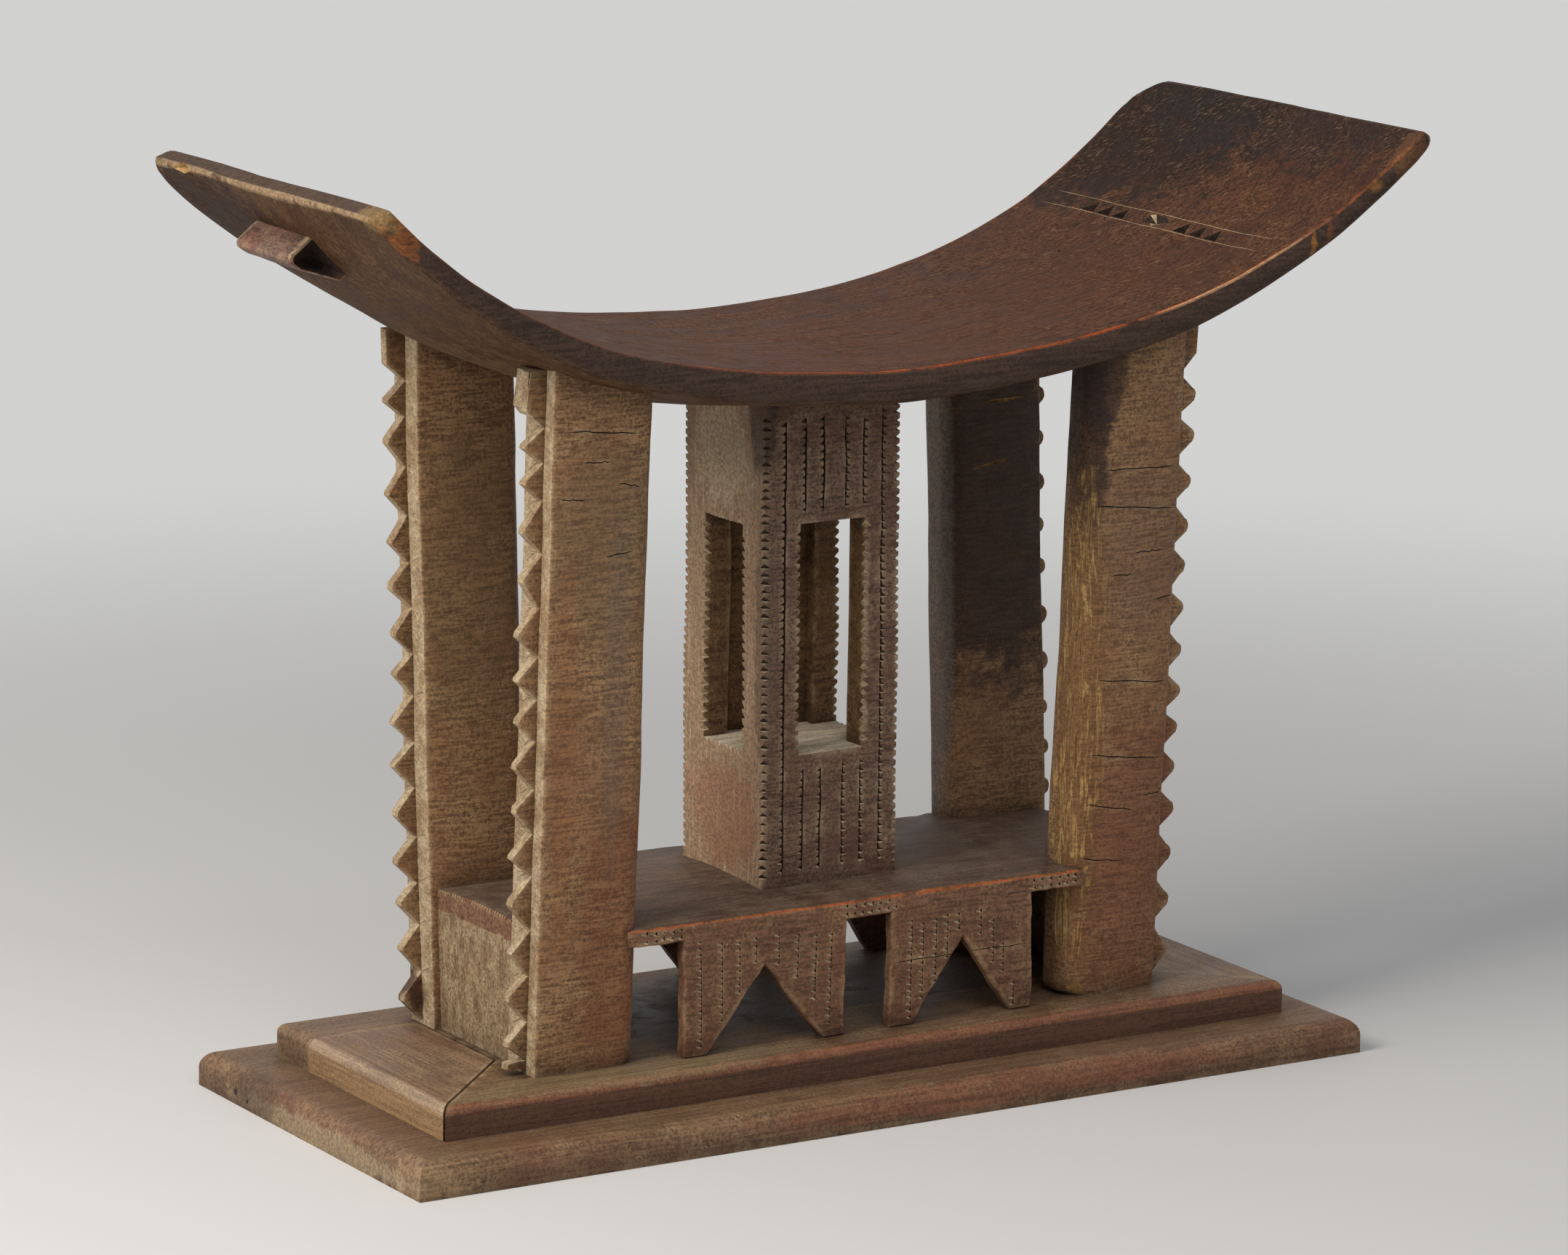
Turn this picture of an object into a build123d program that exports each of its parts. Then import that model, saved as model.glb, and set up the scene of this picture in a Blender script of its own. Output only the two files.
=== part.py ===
"""Ashanti stool: a stool carved from one block, standing on a two-step joined plinth.

X runs along the seat, Y from front (-) to back (+), Z up.
The origin is the middle of the plinth's underside.  All sizes are millimetres.
"""
from build123d import *
import math
import os

# ---------------------------------------------------------------- driving sizes

# lower step of the plinth: one board with a rounded edge
board_length = 600.0
board_width = 258.0
board_thickness = 20.0
board_nose_radius = 10.0

# upper step of the plinth: four rails round a core board
step_margin = 32.0
frame_thickness = 19.0
moulding_radius = 5.5
end_rail_width = 68.0
front_rail_past_screws = 20.5
core_board_past_screws = 8.5
opened_joint_gap = 1.6

# seat; its ends are the stool's highest points
overall_height = 522.0
seat_length = 640.0
seat_mid_depth = 226.0
seat_end_depth = 278.0
seat_dip = 110.0
seat_mid_radius = 670.0
seat_mid_reach = 145.0
seat_mid_thickness = 31.0
seat_edge_thickness = 18.0
seat_flat_underside = 50.0
seat_end_cut_width = 9.0
seat_end_cut_drop = 4.0
seat_lip = 2.0
seat_corner_radius = 12.0

# lugs under the two seat ends
lug_length = 64.0
lug_run = 31.5
lug_height = 18.0
lug_setback = 28.0

# legs
leg_spread = 400.0
leg_width = 63.0
leg_depth = 32.0
foot_spread = 143.0
leg_lean = 3.1
leg_inner_round = 10.0

# row of teeth down the outer side of each leg
tooth_count = 15
tooth_height = 12.5
tooth_root = 0.6
tooth_tip = 2.4
tooth_thickness = 6.5
tooth_setback = 10.0
tooth_row_length = 370.0
tooth_row_start = 4.0

# hollow column in the middle
column_width = 86.0
column_wall = 16.0
window_width = 41.0
window_sill = 151.0
front_window_height = 128.0
side_window_height = 126.0

# shelf between the legs, with aprons under its long edges and walls under its short ones
shelf_rise = 80.0
shelf_crown = 5.0
shelf_thickness = 9.5
shelf_tab = 9.0
apron_proud = 1.5
apron_thickness = 7.0
apron_outer_gap = 25.5
apron_gap = 29.0
apron_gap_shift = 5.5
apron_notch_height = 46.0
apron_toe = 14.0
end_wall_inset = 4.0
end_wall_thickness = 12.0

# slotted countersunk wood screws, driven up from below
screw_fit = 0.05
screw_play = 0.5
screw_sink = 0.5
screw_point = 4.0
slot_width = 1.2
slot_depth = 1.2
leg_screw_diameter = 5.5
leg_screw_head = 10.5
leg_screw_length = 72.0
leg_screw_inset = 22.0
rail_screw_diameter = 4.0
rail_screw_head = 8.0
rail_screw_length = 32.0
rail_screw_inset = 20.0
rail_screw_end_margin = 54.0

# shapes that are joined run this far into each other, and cuts this far past what they cut
bury = 3.0
overrun = 10.0

# ---------------------------------------------------------------- derived sizes

frame_length = board_length - 2 * step_margin
frame_width = board_width - 2 * step_margin
frame_top = board_thickness + frame_thickness
outer_x = frame_length / 2
outer_y = frame_width / 2
inner_x = outer_x - end_rail_width

# the front leg screws pass through the front rail, and the back ones through the core board
leg_screw_y = foot_spread / 2 - leg_screw_inset
front_y = front_rail_past_screws - leg_screw_y
back_y = leg_screw_y + core_board_past_screws

seat_end_z = overall_height
seat_mid_z = seat_end_z - seat_dip
seat_end_x = seat_length / 2
seat_tip_x = seat_end_x + seat_end_cut_width
seat_tip_z = seat_end_z - seat_end_cut_drop
seat_reach_z = seat_mid_z + seat_mid_radius - math.sqrt(seat_mid_radius**2 - seat_mid_reach**2)

leg_x = (leg_spread - leg_width) / 2
leg_y = (foot_spread - leg_depth) / 2
leg_inner_x = leg_spread / 2 - leg_width
lean_slope = math.tan(math.radians(leg_lean))

shelf_top_z = frame_top + shelf_rise
shelf_edge_z = shelf_top_z - shelf_crown
shelf_bottom_z = shelf_edge_z - shelf_thickness
apron_front = foot_spread / 2 + lean_slope * (shelf_edge_z - frame_top) + apron_proud
cavity_width = column_width - 2 * column_wall

os.makedirs("parts", exist_ok=True)

# ---------------------------------------------------------------- the carved block: seat


def seat_curve(drop, tip):
    """A long curve of the seat, drop below its top: a shallow arc with a steeper arc to each tip."""
    left = (-seat_mid_reach, seat_reach_z - drop)
    right = (seat_mid_reach, seat_reach_z - drop)
    middle = ThreePointArc(left, (0, seat_mid_z - drop), right)
    TangentArc(left, (-tip[0], tip[1]), tangent=-(middle % 0))
    return TangentArc(right, tip, tangent=middle % 1)


def surround(tip, side, floor_z):
    """Straight lines from one tip of a long curve, out to the side, under the seat and back up."""
    Polyline(
        tip, side, (side[0], floor_z),
        (-side[0], floor_z), (-side[0], side[1]), (-tip[0], tip[1]),
    )


# the end faces carry on downwards at their own slope, past the tips
seat_end = (seat_end_x, seat_end_z)
seat_side = (seat_tip_x + seat_end_cut_width, seat_tip_z - seat_end_cut_drop)
seat_floor_z = seat_mid_z - 2 * seat_mid_thickness

# the underside is flat across the middle and rises straight to the long edges
under_tip = (seat_tip_x, seat_tip_z - seat_lip)
under_side = (seat_side[0] + overrun, under_tip[1])
half_flat = seat_flat_underside / 2
half_blank = (seat_end_depth + overrun) / 2
half_cutter = seat_end_depth / 2 + overrun
edge_slope = (seat_mid_thickness - seat_edge_thickness) / (seat_mid_depth / 2 - half_flat)
cutter_drop = seat_mid_thickness - edge_slope * (half_cutter - half_flat)

with BuildPart() as seat:
    with BuildSketch(Plane.XZ):
        with BuildLine():
            seat_curve(0, seat_end)
            surround(seat_end, seat_side, seat_floor_z)
        make_face()
    extrude(amount=half_blank, both=True)
    with BuildSketch(Plane.XY.offset(seat_floor_z)) as plan:
        corner_y = seat_end_depth / 2
        with BuildLine():
            ThreePointArc((-seat_tip_x, corner_y), (0, seat_mid_depth / 2), (seat_tip_x, corner_y))
            Line((seat_tip_x, corner_y), (seat_tip_x, -corner_y))
            ThreePointArc((seat_tip_x, -corner_y), (0, -seat_mid_depth / 2), (-seat_tip_x, -corner_y))
            Line((-seat_tip_x, -corner_y), (-seat_tip_x, corner_y))
        make_face()
        fillet(plan.vertices(), seat_corner_radius)
    extrude(amount=seat_end_z - seat_floor_z + overrun, mode=Mode.INTERSECT)
    for y, drop in (
        (-half_cutter, cutter_drop),
        (-half_flat, seat_mid_thickness),
        (half_flat, seat_mid_thickness),
        (half_cutter, cutter_drop),
    ):
        with BuildSketch(Plane.XZ.offset(-y)):
            with BuildLine():
                seat_curve(drop, under_tip)
                surround(under_tip, under_side, seat_floor_z - overrun)
            make_face()
    loft(ruled=True, mode=Mode.SUBTRACT)

# ---------------------------------------------------------------- the carved block: lugs

# each lug stands square to the seat's underside and tapers back towards the middle
wing = seat_curve(seat_mid_thickness, under_tip)
root_at = 1 - lug_setback / wing.length
lug_root = wing.position_at(root_at)
lug_along = wing.tangent_at(root_at)
lug_out = lug_along.rotate(Axis.Z, -90)
lug_tail = lug_root - lug_along * lug_run

with BuildPart() as lugs:
    with BuildSketch(Plane.XZ):
        Polygon(
            lug_root - lug_out * bury,
            lug_root + lug_out * lug_height,
            lug_tail,
            lug_tail - lug_out * bury,
            align=None,
        )
    extrude(amount=lug_length / 2, both=True)
    mirror(about=Plane.YZ)

# ---------------------------------------------------------------- the carved block: legs, teeth, column

leg_plane = Plane(
    origin=(leg_x, leg_y, frame_top),
    x_dir=(1, 0, 0),
    z_dir=(0, lean_slope, 1),
)
tooth_plane = Plane(
    origin=leg_plane.from_local_coords((0, leg_depth / 2 - tooth_setback, 0)),
    x_dir=(1, 0, 0),
    z_dir=-leg_plane.y_dir,
)
tooth_pitch = tooth_row_length / tooth_count
leg_outer_side = leg_width / 2


def tooth_row():
    """Outline of the teeth from the foot up; each tooth is a triangle with a narrow flat tip."""
    inside = leg_outer_side - bury
    root = leg_outer_side + tooth_root
    tip = leg_outer_side + tooth_height
    points = [(inside, tooth_row_start), (root, tooth_row_start)]
    for tooth in range(tooth_count):
        middle = tooth_row_start + (tooth + 0.5) * tooth_pitch
        points.append((tip, middle - tooth_tip / 2))
        points.append((tip, middle + tooth_tip / 2))
        points.append((root, middle + tooth_pitch / 2))
    points.append((inside, tooth_row_start + tooth_row_length))
    return points


with BuildPart() as uprights:
    with BuildSketch(leg_plane.offset(-overrun)) as leg_section:
        Rectangle(leg_width, leg_depth)
        fillet(leg_section.vertices().group_by(Axis.X)[0], leg_inner_round)
    extrude(amount=seat_end_z)
    with BuildSketch(tooth_plane):
        Polygon(*tooth_row(), align=None)
    extrude(amount=tooth_thickness)
    mirror(about=Plane.YZ)
    mirror(about=Plane.XZ)
    with BuildSketch(Plane.XY.offset((shelf_bottom_z + shelf_edge_z) / 2)):
        Rectangle(column_width, column_width)
    extrude(amount=seat_end_z)
    # everything ends level at the feet and half-way up into the seat's edge thickness
    with BuildSketch(Plane.XZ):
        with BuildLine():
            seat_curve(seat_edge_thickness / 2, seat_end)
            surround(seat_end, (seat_side[0], seat_end_z), frame_top)
        make_face()
    extrude(amount=half_blank, both=True, mode=Mode.INTERSECT)

# ---------------------------------------------------------------- the carved block: shelf


def crown_z(y):
    """Height of the shelf's crowned top at a distance y from its middle line."""
    return shelf_top_z - shelf_crown * (y / apron_front) ** 2


# the band in front laps onto the legs with a short tab, the rest fills the room between them
shelf_spans = (
    (leg_inner_x + shelf_tab, apron_front),
    (leg_spread / 2 - end_wall_inset, leg_y),
)
wall_height = shelf_bottom_z - frame_top + bury

with BuildPart() as shelf:
    for half_length, half_width in shelf_spans:
        with BuildSketch(Plane.YZ):
            with BuildLine():
                edge_z = crown_z(half_width)
                ThreePointArc((-half_width, edge_z), (0, shelf_top_z), (half_width, edge_z))
                Polyline(
                    (half_width, edge_z), (half_width, shelf_bottom_z),
                    (-half_width, shelf_bottom_z), (-half_width, edge_z),
                )
            make_face()
        extrude(amount=half_length, both=True)

with BuildPart() as end_walls:
    with BuildSketch(Plane.XY.offset(frame_top)):
        with Locations((leg_spread / 2 - end_wall_inset, 0)):
            Rectangle(end_wall_thickness, 2 * leg_y, align=(Align.MAX, Align.CENTER))
    extrude(amount=wall_height)
    mirror(about=Plane.YZ)

apron_spans = (
    (apron_outer_gap - leg_inner_x, apron_gap_shift - apron_gap / 2),
    (apron_gap_shift + apron_gap / 2, leg_inner_x - apron_outer_gap),
)

with BuildPart() as aprons:
    with BuildSketch(Plane.XZ.offset(apron_front)):
        for left, right in apron_spans:
            with Locations((left, frame_top)):
                Rectangle(right - left, wall_height, align=Align.MIN)
            Polygon(
                (left + apron_toe, frame_top),
                (right - apron_toe, frame_top),
                ((left + right) / 2, frame_top + apron_notch_height),
                align=None,
                mode=Mode.SUBTRACT,
            )
    extrude(amount=-apron_thickness)
    mirror(about=Plane.XZ)

# ---------------------------------------------------------------- screws and their holes

end_rail_length = outer_y + back_y
front_rail_screw_y = rail_screw_inset - outer_y
back_rail_screw_y = (back_y + outer_y) / 2
end_rail_screw_x = outer_x - rail_screw_inset

leg_screw_spots = GridLocations(2 * leg_x, 2 * leg_screw_y, 2, 2)
rail_screw_spots = Locations(
    *[
        (x, y)
        for x in (rail_screw_end_margin - outer_x, 0, outer_x - rail_screw_end_margin)
        for y in (front_rail_screw_y, back_rail_screw_y)
    ],
    *[
        (x, y)
        for x in (-end_rail_screw_x, end_rail_screw_x)
        for y in (end_rail_length / 4 - outer_y, back_y - end_rail_length / 4)
    ],
)


def screw(diameter, head, length):
    """A slotted countersunk wood screw with its head at the bottom and its point up."""
    radius = diameter / 2
    head_radius = head / 2
    with BuildPart() as made:
        with BuildSketch(Plane.XZ):
            Polygon(
                (0, screw_sink),
                (head_radius, screw_sink),
                (radius, screw_sink + head_radius - radius),
                (radius, screw_sink + length - screw_point),
                (0, screw_sink + length),
                align=None,
            )
        revolve(axis=Axis.Z)
        with BuildSketch(Plane.XY.offset(screw_sink)):
            Rectangle(head, slot_width)
        extrude(amount=slot_depth, mode=Mode.SUBTRACT)
    return made.part


def screw_hole(diameter, head, length, loose_depth):
    """The hole for one screw: a countersink, a loose hole up to loose_depth and a tight one above."""
    head_radius = head / 2 + screw_fit
    loose_radius = diameter / 2 + screw_play
    tight_radius = diameter / 2 + screw_fit
    with BuildPart() as made:
        with BuildSketch(Plane.XZ):
            Polygon(
                (0, -overrun),
                (head_radius, -overrun),
                (head_radius, screw_sink),
                (loose_radius, screw_sink + head_radius - loose_radius),
                (loose_radius, loose_depth),
                (tight_radius, loose_depth),
                (tight_radius, screw_sink + length + screw_play),
                (0, screw_sink + length + screw_play),
                align=None,
            )
        revolve(axis=Axis.Z)
    return made.part


leg_screw = screw(leg_screw_diameter, leg_screw_head, leg_screw_length)
rail_screw = screw(rail_screw_diameter, rail_screw_head, rail_screw_length)
leg_screw_hole = screw_hole(leg_screw_diameter, leg_screw_head, leg_screw_length, frame_top)
rail_screw_hole = screw_hole(rail_screw_diameter, rail_screw_head, rail_screw_length, board_thickness)

with BuildPart() as leg_screws:
    with leg_screw_spots:
        add(leg_screw)

with BuildPart() as rail_screws:
    with rail_screw_spots:
        add(rail_screw)

with BuildPart() as holes:
    with leg_screw_spots:
        add(leg_screw_hole)
    with rail_screw_spots:
        add(rail_screw_hole)

# ---------------------------------------------------------------- the carved block: whole

with BuildPart() as carved_stool:
    add(seat.part)
    add(lugs.part)
    add(uprights.part)
    add(shelf.part)
    add(end_walls.part)
    add(aprons.part)
    # hollow of the column, its front window and its two side windows; the back wall is whole
    with BuildSketch(Plane.XY.offset(frame_top + window_sill)):
        Rectangle(cavity_width, cavity_width)
    extrude(amount=front_window_height, mode=Mode.SUBTRACT)
    with BuildSketch(Plane.XZ):
        with Locations((0, frame_top + window_sill)):
            Rectangle(window_width, front_window_height, align=(Align.CENTER, Align.MIN))
    extrude(amount=column_width, mode=Mode.SUBTRACT)
    with BuildSketch(Plane.YZ):
        with Locations((0, frame_top + window_sill)):
            Rectangle(window_width, side_window_height, align=(Align.CENTER, Align.MIN))
    extrude(amount=column_width, both=True, mode=Mode.SUBTRACT)
    add(holes.part, mode=Mode.SUBTRACT)

# ---------------------------------------------------------------- lower step of the plinth

with BuildPart() as plinth_board:
    with BuildSketch():
        Rectangle(board_length, board_width)
    extrude(amount=board_thickness)
    fillet(plinth_board.faces().sort_by(Axis.Z)[-1].edges(), board_nose_radius)
    add(holes.part, mode=Mode.SUBTRACT)

# ---------------------------------------------------------------- upper step of the plinth

frame_plane = Plane.XY.offset(board_thickness)

# the left end rail has shrunk away from its neighbours: its mitre and its inner edge stand open
mitre_gap = opened_joint_gap * math.sqrt(2)

with BuildPart() as front_rail:
    with BuildSketch(frame_plane):
        Polygon(
            (-outer_x, -outer_y),
            (outer_x, -outer_y),
            (inner_x, front_y),
            (-inner_x, front_y),
            align=None,
        )
    extrude(amount=frame_thickness)
    outer_edge = front_rail.edges().filter_by(Axis.X).group_by(Axis.Z)[-1].sort_by(Axis.Y)[0]
    fillet(outer_edge, moulding_radius)
    add(holes.part, mode=Mode.SUBTRACT)

with BuildPart() as left_end_rail:
    with BuildSketch(frame_plane):
        Polygon(
            (-outer_x, mitre_gap - outer_y),
            (-inner_x - opened_joint_gap, front_y + mitre_gap - opened_joint_gap),
            (-inner_x - opened_joint_gap, back_y),
            (-outer_x, back_y),
            align=None,
        )
    extrude(amount=frame_thickness)
    outer_edge = left_end_rail.edges().filter_by(Axis.Y).group_by(Axis.Z)[-1].sort_by(Axis.X)[0]
    fillet(outer_edge, moulding_radius)
    add(holes.part, mode=Mode.SUBTRACT)

with BuildPart() as right_end_rail:
    with BuildSketch(frame_plane):
        Polygon(
            (outer_x, -outer_y),
            (outer_x, back_y),
            (inner_x, back_y),
            (inner_x, front_y),
            align=None,
        )
    extrude(amount=frame_thickness)
    outer_edge = right_end_rail.edges().filter_by(Axis.Y).group_by(Axis.Z)[-1].sort_by(Axis.X)[-1]
    fillet(outer_edge, moulding_radius)
    add(holes.part, mode=Mode.SUBTRACT)

with BuildPart() as back_rail:
    with BuildSketch(frame_plane):
        with Locations((0, back_y)):
            Rectangle(frame_length, outer_y - back_y, align=(Align.CENTER, Align.MIN))
    extrude(amount=frame_thickness)
    fillet(back_rail.faces().sort_by(Axis.Z)[-1].edges().sort_by(Axis.Y)[1:], moulding_radius)
    add(holes.part, mode=Mode.SUBTRACT)

with BuildPart() as core_board:
    with BuildSketch(frame_plane):
        with Locations((0, front_y)):
            Rectangle(2 * inner_x, back_y - front_y, align=(Align.CENTER, Align.MIN))
    extrude(amount=frame_thickness)
    add(holes.part, mode=Mode.SUBTRACT)

# ---------------------------------------------------------------- one STEP file for each piece

pieces = {
    "carved_stool": carved_stool,
    "plinth_board": plinth_board,
    "front_rail": front_rail,
    "left_end_rail": left_end_rail,
    "right_end_rail": right_end_rail,
    "back_rail": back_rail,
    "core_board": core_board,
    "leg_screws": leg_screws,
    "rail_screws": rail_screws,
}
for name, piece in pieces.items():
    piece.part.label = name
    export_step(piece.part, f"parts/{name}.step")
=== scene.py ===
import math
import random
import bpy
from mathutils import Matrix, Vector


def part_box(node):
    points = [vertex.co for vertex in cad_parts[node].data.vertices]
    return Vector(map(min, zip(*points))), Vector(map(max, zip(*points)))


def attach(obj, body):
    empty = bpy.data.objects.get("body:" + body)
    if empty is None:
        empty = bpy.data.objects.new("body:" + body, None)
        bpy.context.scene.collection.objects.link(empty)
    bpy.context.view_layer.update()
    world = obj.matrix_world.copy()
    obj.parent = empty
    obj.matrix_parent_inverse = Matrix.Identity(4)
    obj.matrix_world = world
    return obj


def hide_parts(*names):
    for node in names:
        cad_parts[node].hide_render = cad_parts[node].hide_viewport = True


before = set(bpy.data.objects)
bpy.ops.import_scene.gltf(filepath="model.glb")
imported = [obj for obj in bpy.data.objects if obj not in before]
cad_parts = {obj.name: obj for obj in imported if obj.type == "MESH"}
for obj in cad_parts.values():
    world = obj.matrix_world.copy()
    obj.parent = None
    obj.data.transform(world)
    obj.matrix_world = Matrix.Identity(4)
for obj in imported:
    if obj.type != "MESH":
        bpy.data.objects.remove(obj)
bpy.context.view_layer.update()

from types import SimpleNamespace

import bmesh
import bpy
from mathutils import Matrix, Vector, noise

# ------------------------------------------------------------------ lower step of the plinth
# One board of brown stained wood with a rounded edge all round.
# It is planed and varnished, and its edge is scuffed down to paler wood by years of handling.
# The rails and the stool stand on it, held by screws from below.


def stain(red, green, blue):
    """A colour by its screen values, 0 to 255, in the renderer's linear scale."""
    return (*((c / 255) ** 2.2 for c in (red, green, blue)), 1)


def node(tree, kind, inputs=(), **settings):
    """Adds a shader node; an input is a value or the socket that feeds it."""
    made = tree.nodes.new("ShaderNode" + kind)
    for name, value in settings.items():
        setattr(made, name, value)
    for name, value in dict(inputs).items():
        if isinstance(value, bpy.types.NodeSocket):
            tree.links.new(value, made.inputs[name])
        else:
            made.inputs[name].default_value = value
    return made


def maths(tree, operation, *values):
    return node(tree, "Math", dict(enumerate(values)), operation=operation).outputs[0]


def times(tree, first, second):
    return maths(tree, "MULTIPLY", first, second)


def vectors(tree, operation, first, second):
    return node(tree, "VectorMath", {0: first, 1: second}, operation=operation).outputs[0]


def where(tree):
    """The place on the object, in metres."""
    return node(tree, "TexCoord").outputs["Object"]


def cloud(tree, spot, scale, detail, roughness=0.5, distortion=0.0):
    """Noise between 0 and 1 over a place."""
    made = node(tree, "TexNoise", {"Vector": spot, "Scale": scale, "Detail": detail, "Roughness": roughness,
                                   "Distortion": distortion})
    return made.outputs["Fac"]


def ramp(tree, value, low, high):
    """0 below low, 1 above high, and smooth between them."""
    made = node(tree, "MapRange", {0: value, 1: low, 2: high}, interpolation_type="SMOOTHSTEP")
    return made.outputs[0]


def blend(tree, mask, first, second):
    return node(tree, "Mix", {0: mask, 6: first, 7: second}, data_type="RGBA").outputs[2]


def shader_group(name, inputs, outputs):
    """An empty node group, with its input and output sockets by name."""
    tree = bpy.data.node_groups.new(name, "ShaderNodeTree")
    for label, value in inputs.items():
        kind = "NodeSocketVector" if isinstance(value, tuple) else "NodeSocketFloat"
        tree.interface.new_socket(label, in_out="INPUT", socket_type=kind).default_value = value
    for label in outputs:
        tree.interface.new_socket(label, in_out="OUTPUT", socket_type="NodeSocketFloat")
    return tree, tree.nodes.new("NodeGroupInput").outputs, tree.nodes.new("NodeGroupOutput").inputs


def give(tree, inputs, **sockets):
    """Leads sockets to a node's inputs by name."""
    for name, socket in sockets.items():
        tree.links.new(socket, inputs[name])


def place(tree, group, inputs=()):
    """Puts a node group into a material and gives its outputs."""
    return node(tree, "Group", inputs, node_tree=group).outputs


def patch_mask(tree, centre, size, ragged):
    """The mask of one ragged patch; its centre and size are in millimetres."""
    inputs = {"Centre": [c / 1000 for c in centre], "Size": [s / 1000 for s in size], "Ragged": ragged}
    return place(tree, ragged_patch, inputs)["Mask"]


# wood fibres: broad streaks, fine fibres and short open pores, drawn out along one direction, and grit
timber_grain, given, result = shader_group(
    "timber_grain", {"Stretch": (5.0, 120.0, 120.0), "Waviness": 0.005},
    ["Streak", "Fibre", "Pores", "Grit", "Tone"])
on_wood = where(timber_grain)
sway = node(timber_grain, "TexNoise", {"Vector": on_wood, "Scale": 9.0, "Detail": 2.0}).outputs["Color"]
sway = vectors(timber_grain, "SUBTRACT", sway, (0.5, 0.5, 0.5))
sway = node(timber_grain, "VectorMath", {0: sway, 3: given["Waviness"]}, operation="SCALE").outputs[0]
spot = vectors(timber_grain, "ADD", on_wood, sway)
spot = vectors(timber_grain, "MULTIPLY", spot, given["Stretch"])
streak = cloud(timber_grain, spot, 1.0, 6.0, 0.62)
fibre = cloud(timber_grain, spot, 5.5, 4.0, 0.7)
pores = cloud(timber_grain, spot, 3.2, 3.0, 0.55)
grit = cloud(timber_grain, on_wood, 540.0, 4.0, 0.75)
streak = ramp(timber_grain, streak, 0.32, 0.68)
fibre = ramp(timber_grain, fibre, 0.33, 0.67)
grit = ramp(timber_grain, grit, 0.34, 0.66)
tone = maths(timber_grain, "MULTIPLY_ADD", streak, 0.42, times(timber_grain, fibre, 0.22))
tone = maths(timber_grain, "MULTIPLY_ADD", grit, 0.36, tone)
give(timber_grain, result, Streak=streak, Fibre=fibre, Grit=grit,
     Pores=ramp(timber_grain, pores, 0.60, 0.68), Tone=ramp(timber_grain, tone, 0.22, 0.78))

# old patina: large soft blotches, cloudier bloom and small pale specks
old_patina, given, result = shader_group("old_patina", {"Scale": 12.0, "Shift": (0.0, 0.0, 0.0)},
                                         ["Blotch", "Bloom", "Speck"])
spot = vectors(old_patina, "ADD", where(old_patina), given["Shift"])
blotch = cloud(old_patina, spot, given["Scale"], 5.0, 0.6)
bloom = cloud(old_patina, spot, times(old_patina, given["Scale"], 4.3), 6.0, 0.7)
speck = cloud(old_patina, spot, 560.0, 2.0, 0.6)
lumps = ramp(old_patina, bloom, 0.42, 0.66)
speck = times(old_patina, ramp(old_patina, speck, 0.62, 0.68), lumps)
give(old_patina, result, Speck=speck,
     Blotch=ramp(old_patina, blotch, 0.38, 0.62), Bloom=ramp(old_patina, bloom, 0.36, 0.66))

# edges and hollows: Edge is where corners stand out within Reach, Hollow is how closely other surfaces shut
# a place in within Depth
edges_and_hollows, given, result = shader_group("edges_and_hollows", {"Reach": 0.004, "Depth": 0.02},
                                            ["Edge", "Hollow"])
edge = node(edges_and_hollows, "AmbientOcclusion", {"Distance": given["Reach"]}, samples=4, inside=True,
            only_local=True)
edge = maths(edges_and_hollows, "SUBTRACT", 1.0, edge.outputs["AO"])
hollow = node(edges_and_hollows, "AmbientOcclusion", {"Distance": given["Depth"]}, samples=4)
hollow = maths(edges_and_hollows, "SUBTRACT", 1.0, hollow.outputs["AO"])
give(edges_and_hollows, result, Edge=ramp(edges_and_hollows, edge, 0.08, 0.42),
     Hollow=ramp(edges_and_hollows, hollow, 0.08, 0.62))

# one ragged patch round a place on the object, Size across on each axis
ragged_patch, given, result = shader_group(
    "ragged_patch", {"Centre": (0.0, 0.0, 0.0), "Size": (0.02, 0.02, 0.02), "Ragged": 0.8}, ["Mask"])
spot = where(ragged_patch)
away = vectors(ragged_patch, "SUBTRACT", spot, given["Centre"])
away = vectors(ragged_patch, "DIVIDE", away, given["Size"])
away = node(ragged_patch, "VectorMath", {0: away}, operation="LENGTH").outputs["Value"]
torn = maths(ragged_patch, "SUBTRACT", cloud(ragged_patch, spot, 90.0, 5.0, 0.65), 0.5)
away = maths(ragged_patch, "MULTIPLY_ADD", torn, given["Ragged"], away)
give(ragged_patch, result, Mask=ramp(ragged_patch, away, 1.05, 0.62))


def shade(colour, amount):
    return (*(amount * c for c in colour[:3]), 1)


def blank_material(name):
    """A new material, its node tree and its shader."""
    material = bpy.data.materials.new(name)
    material.use_nodes = True
    return material, material.node_tree, material.node_tree.nodes["Principled BSDF"]


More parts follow.
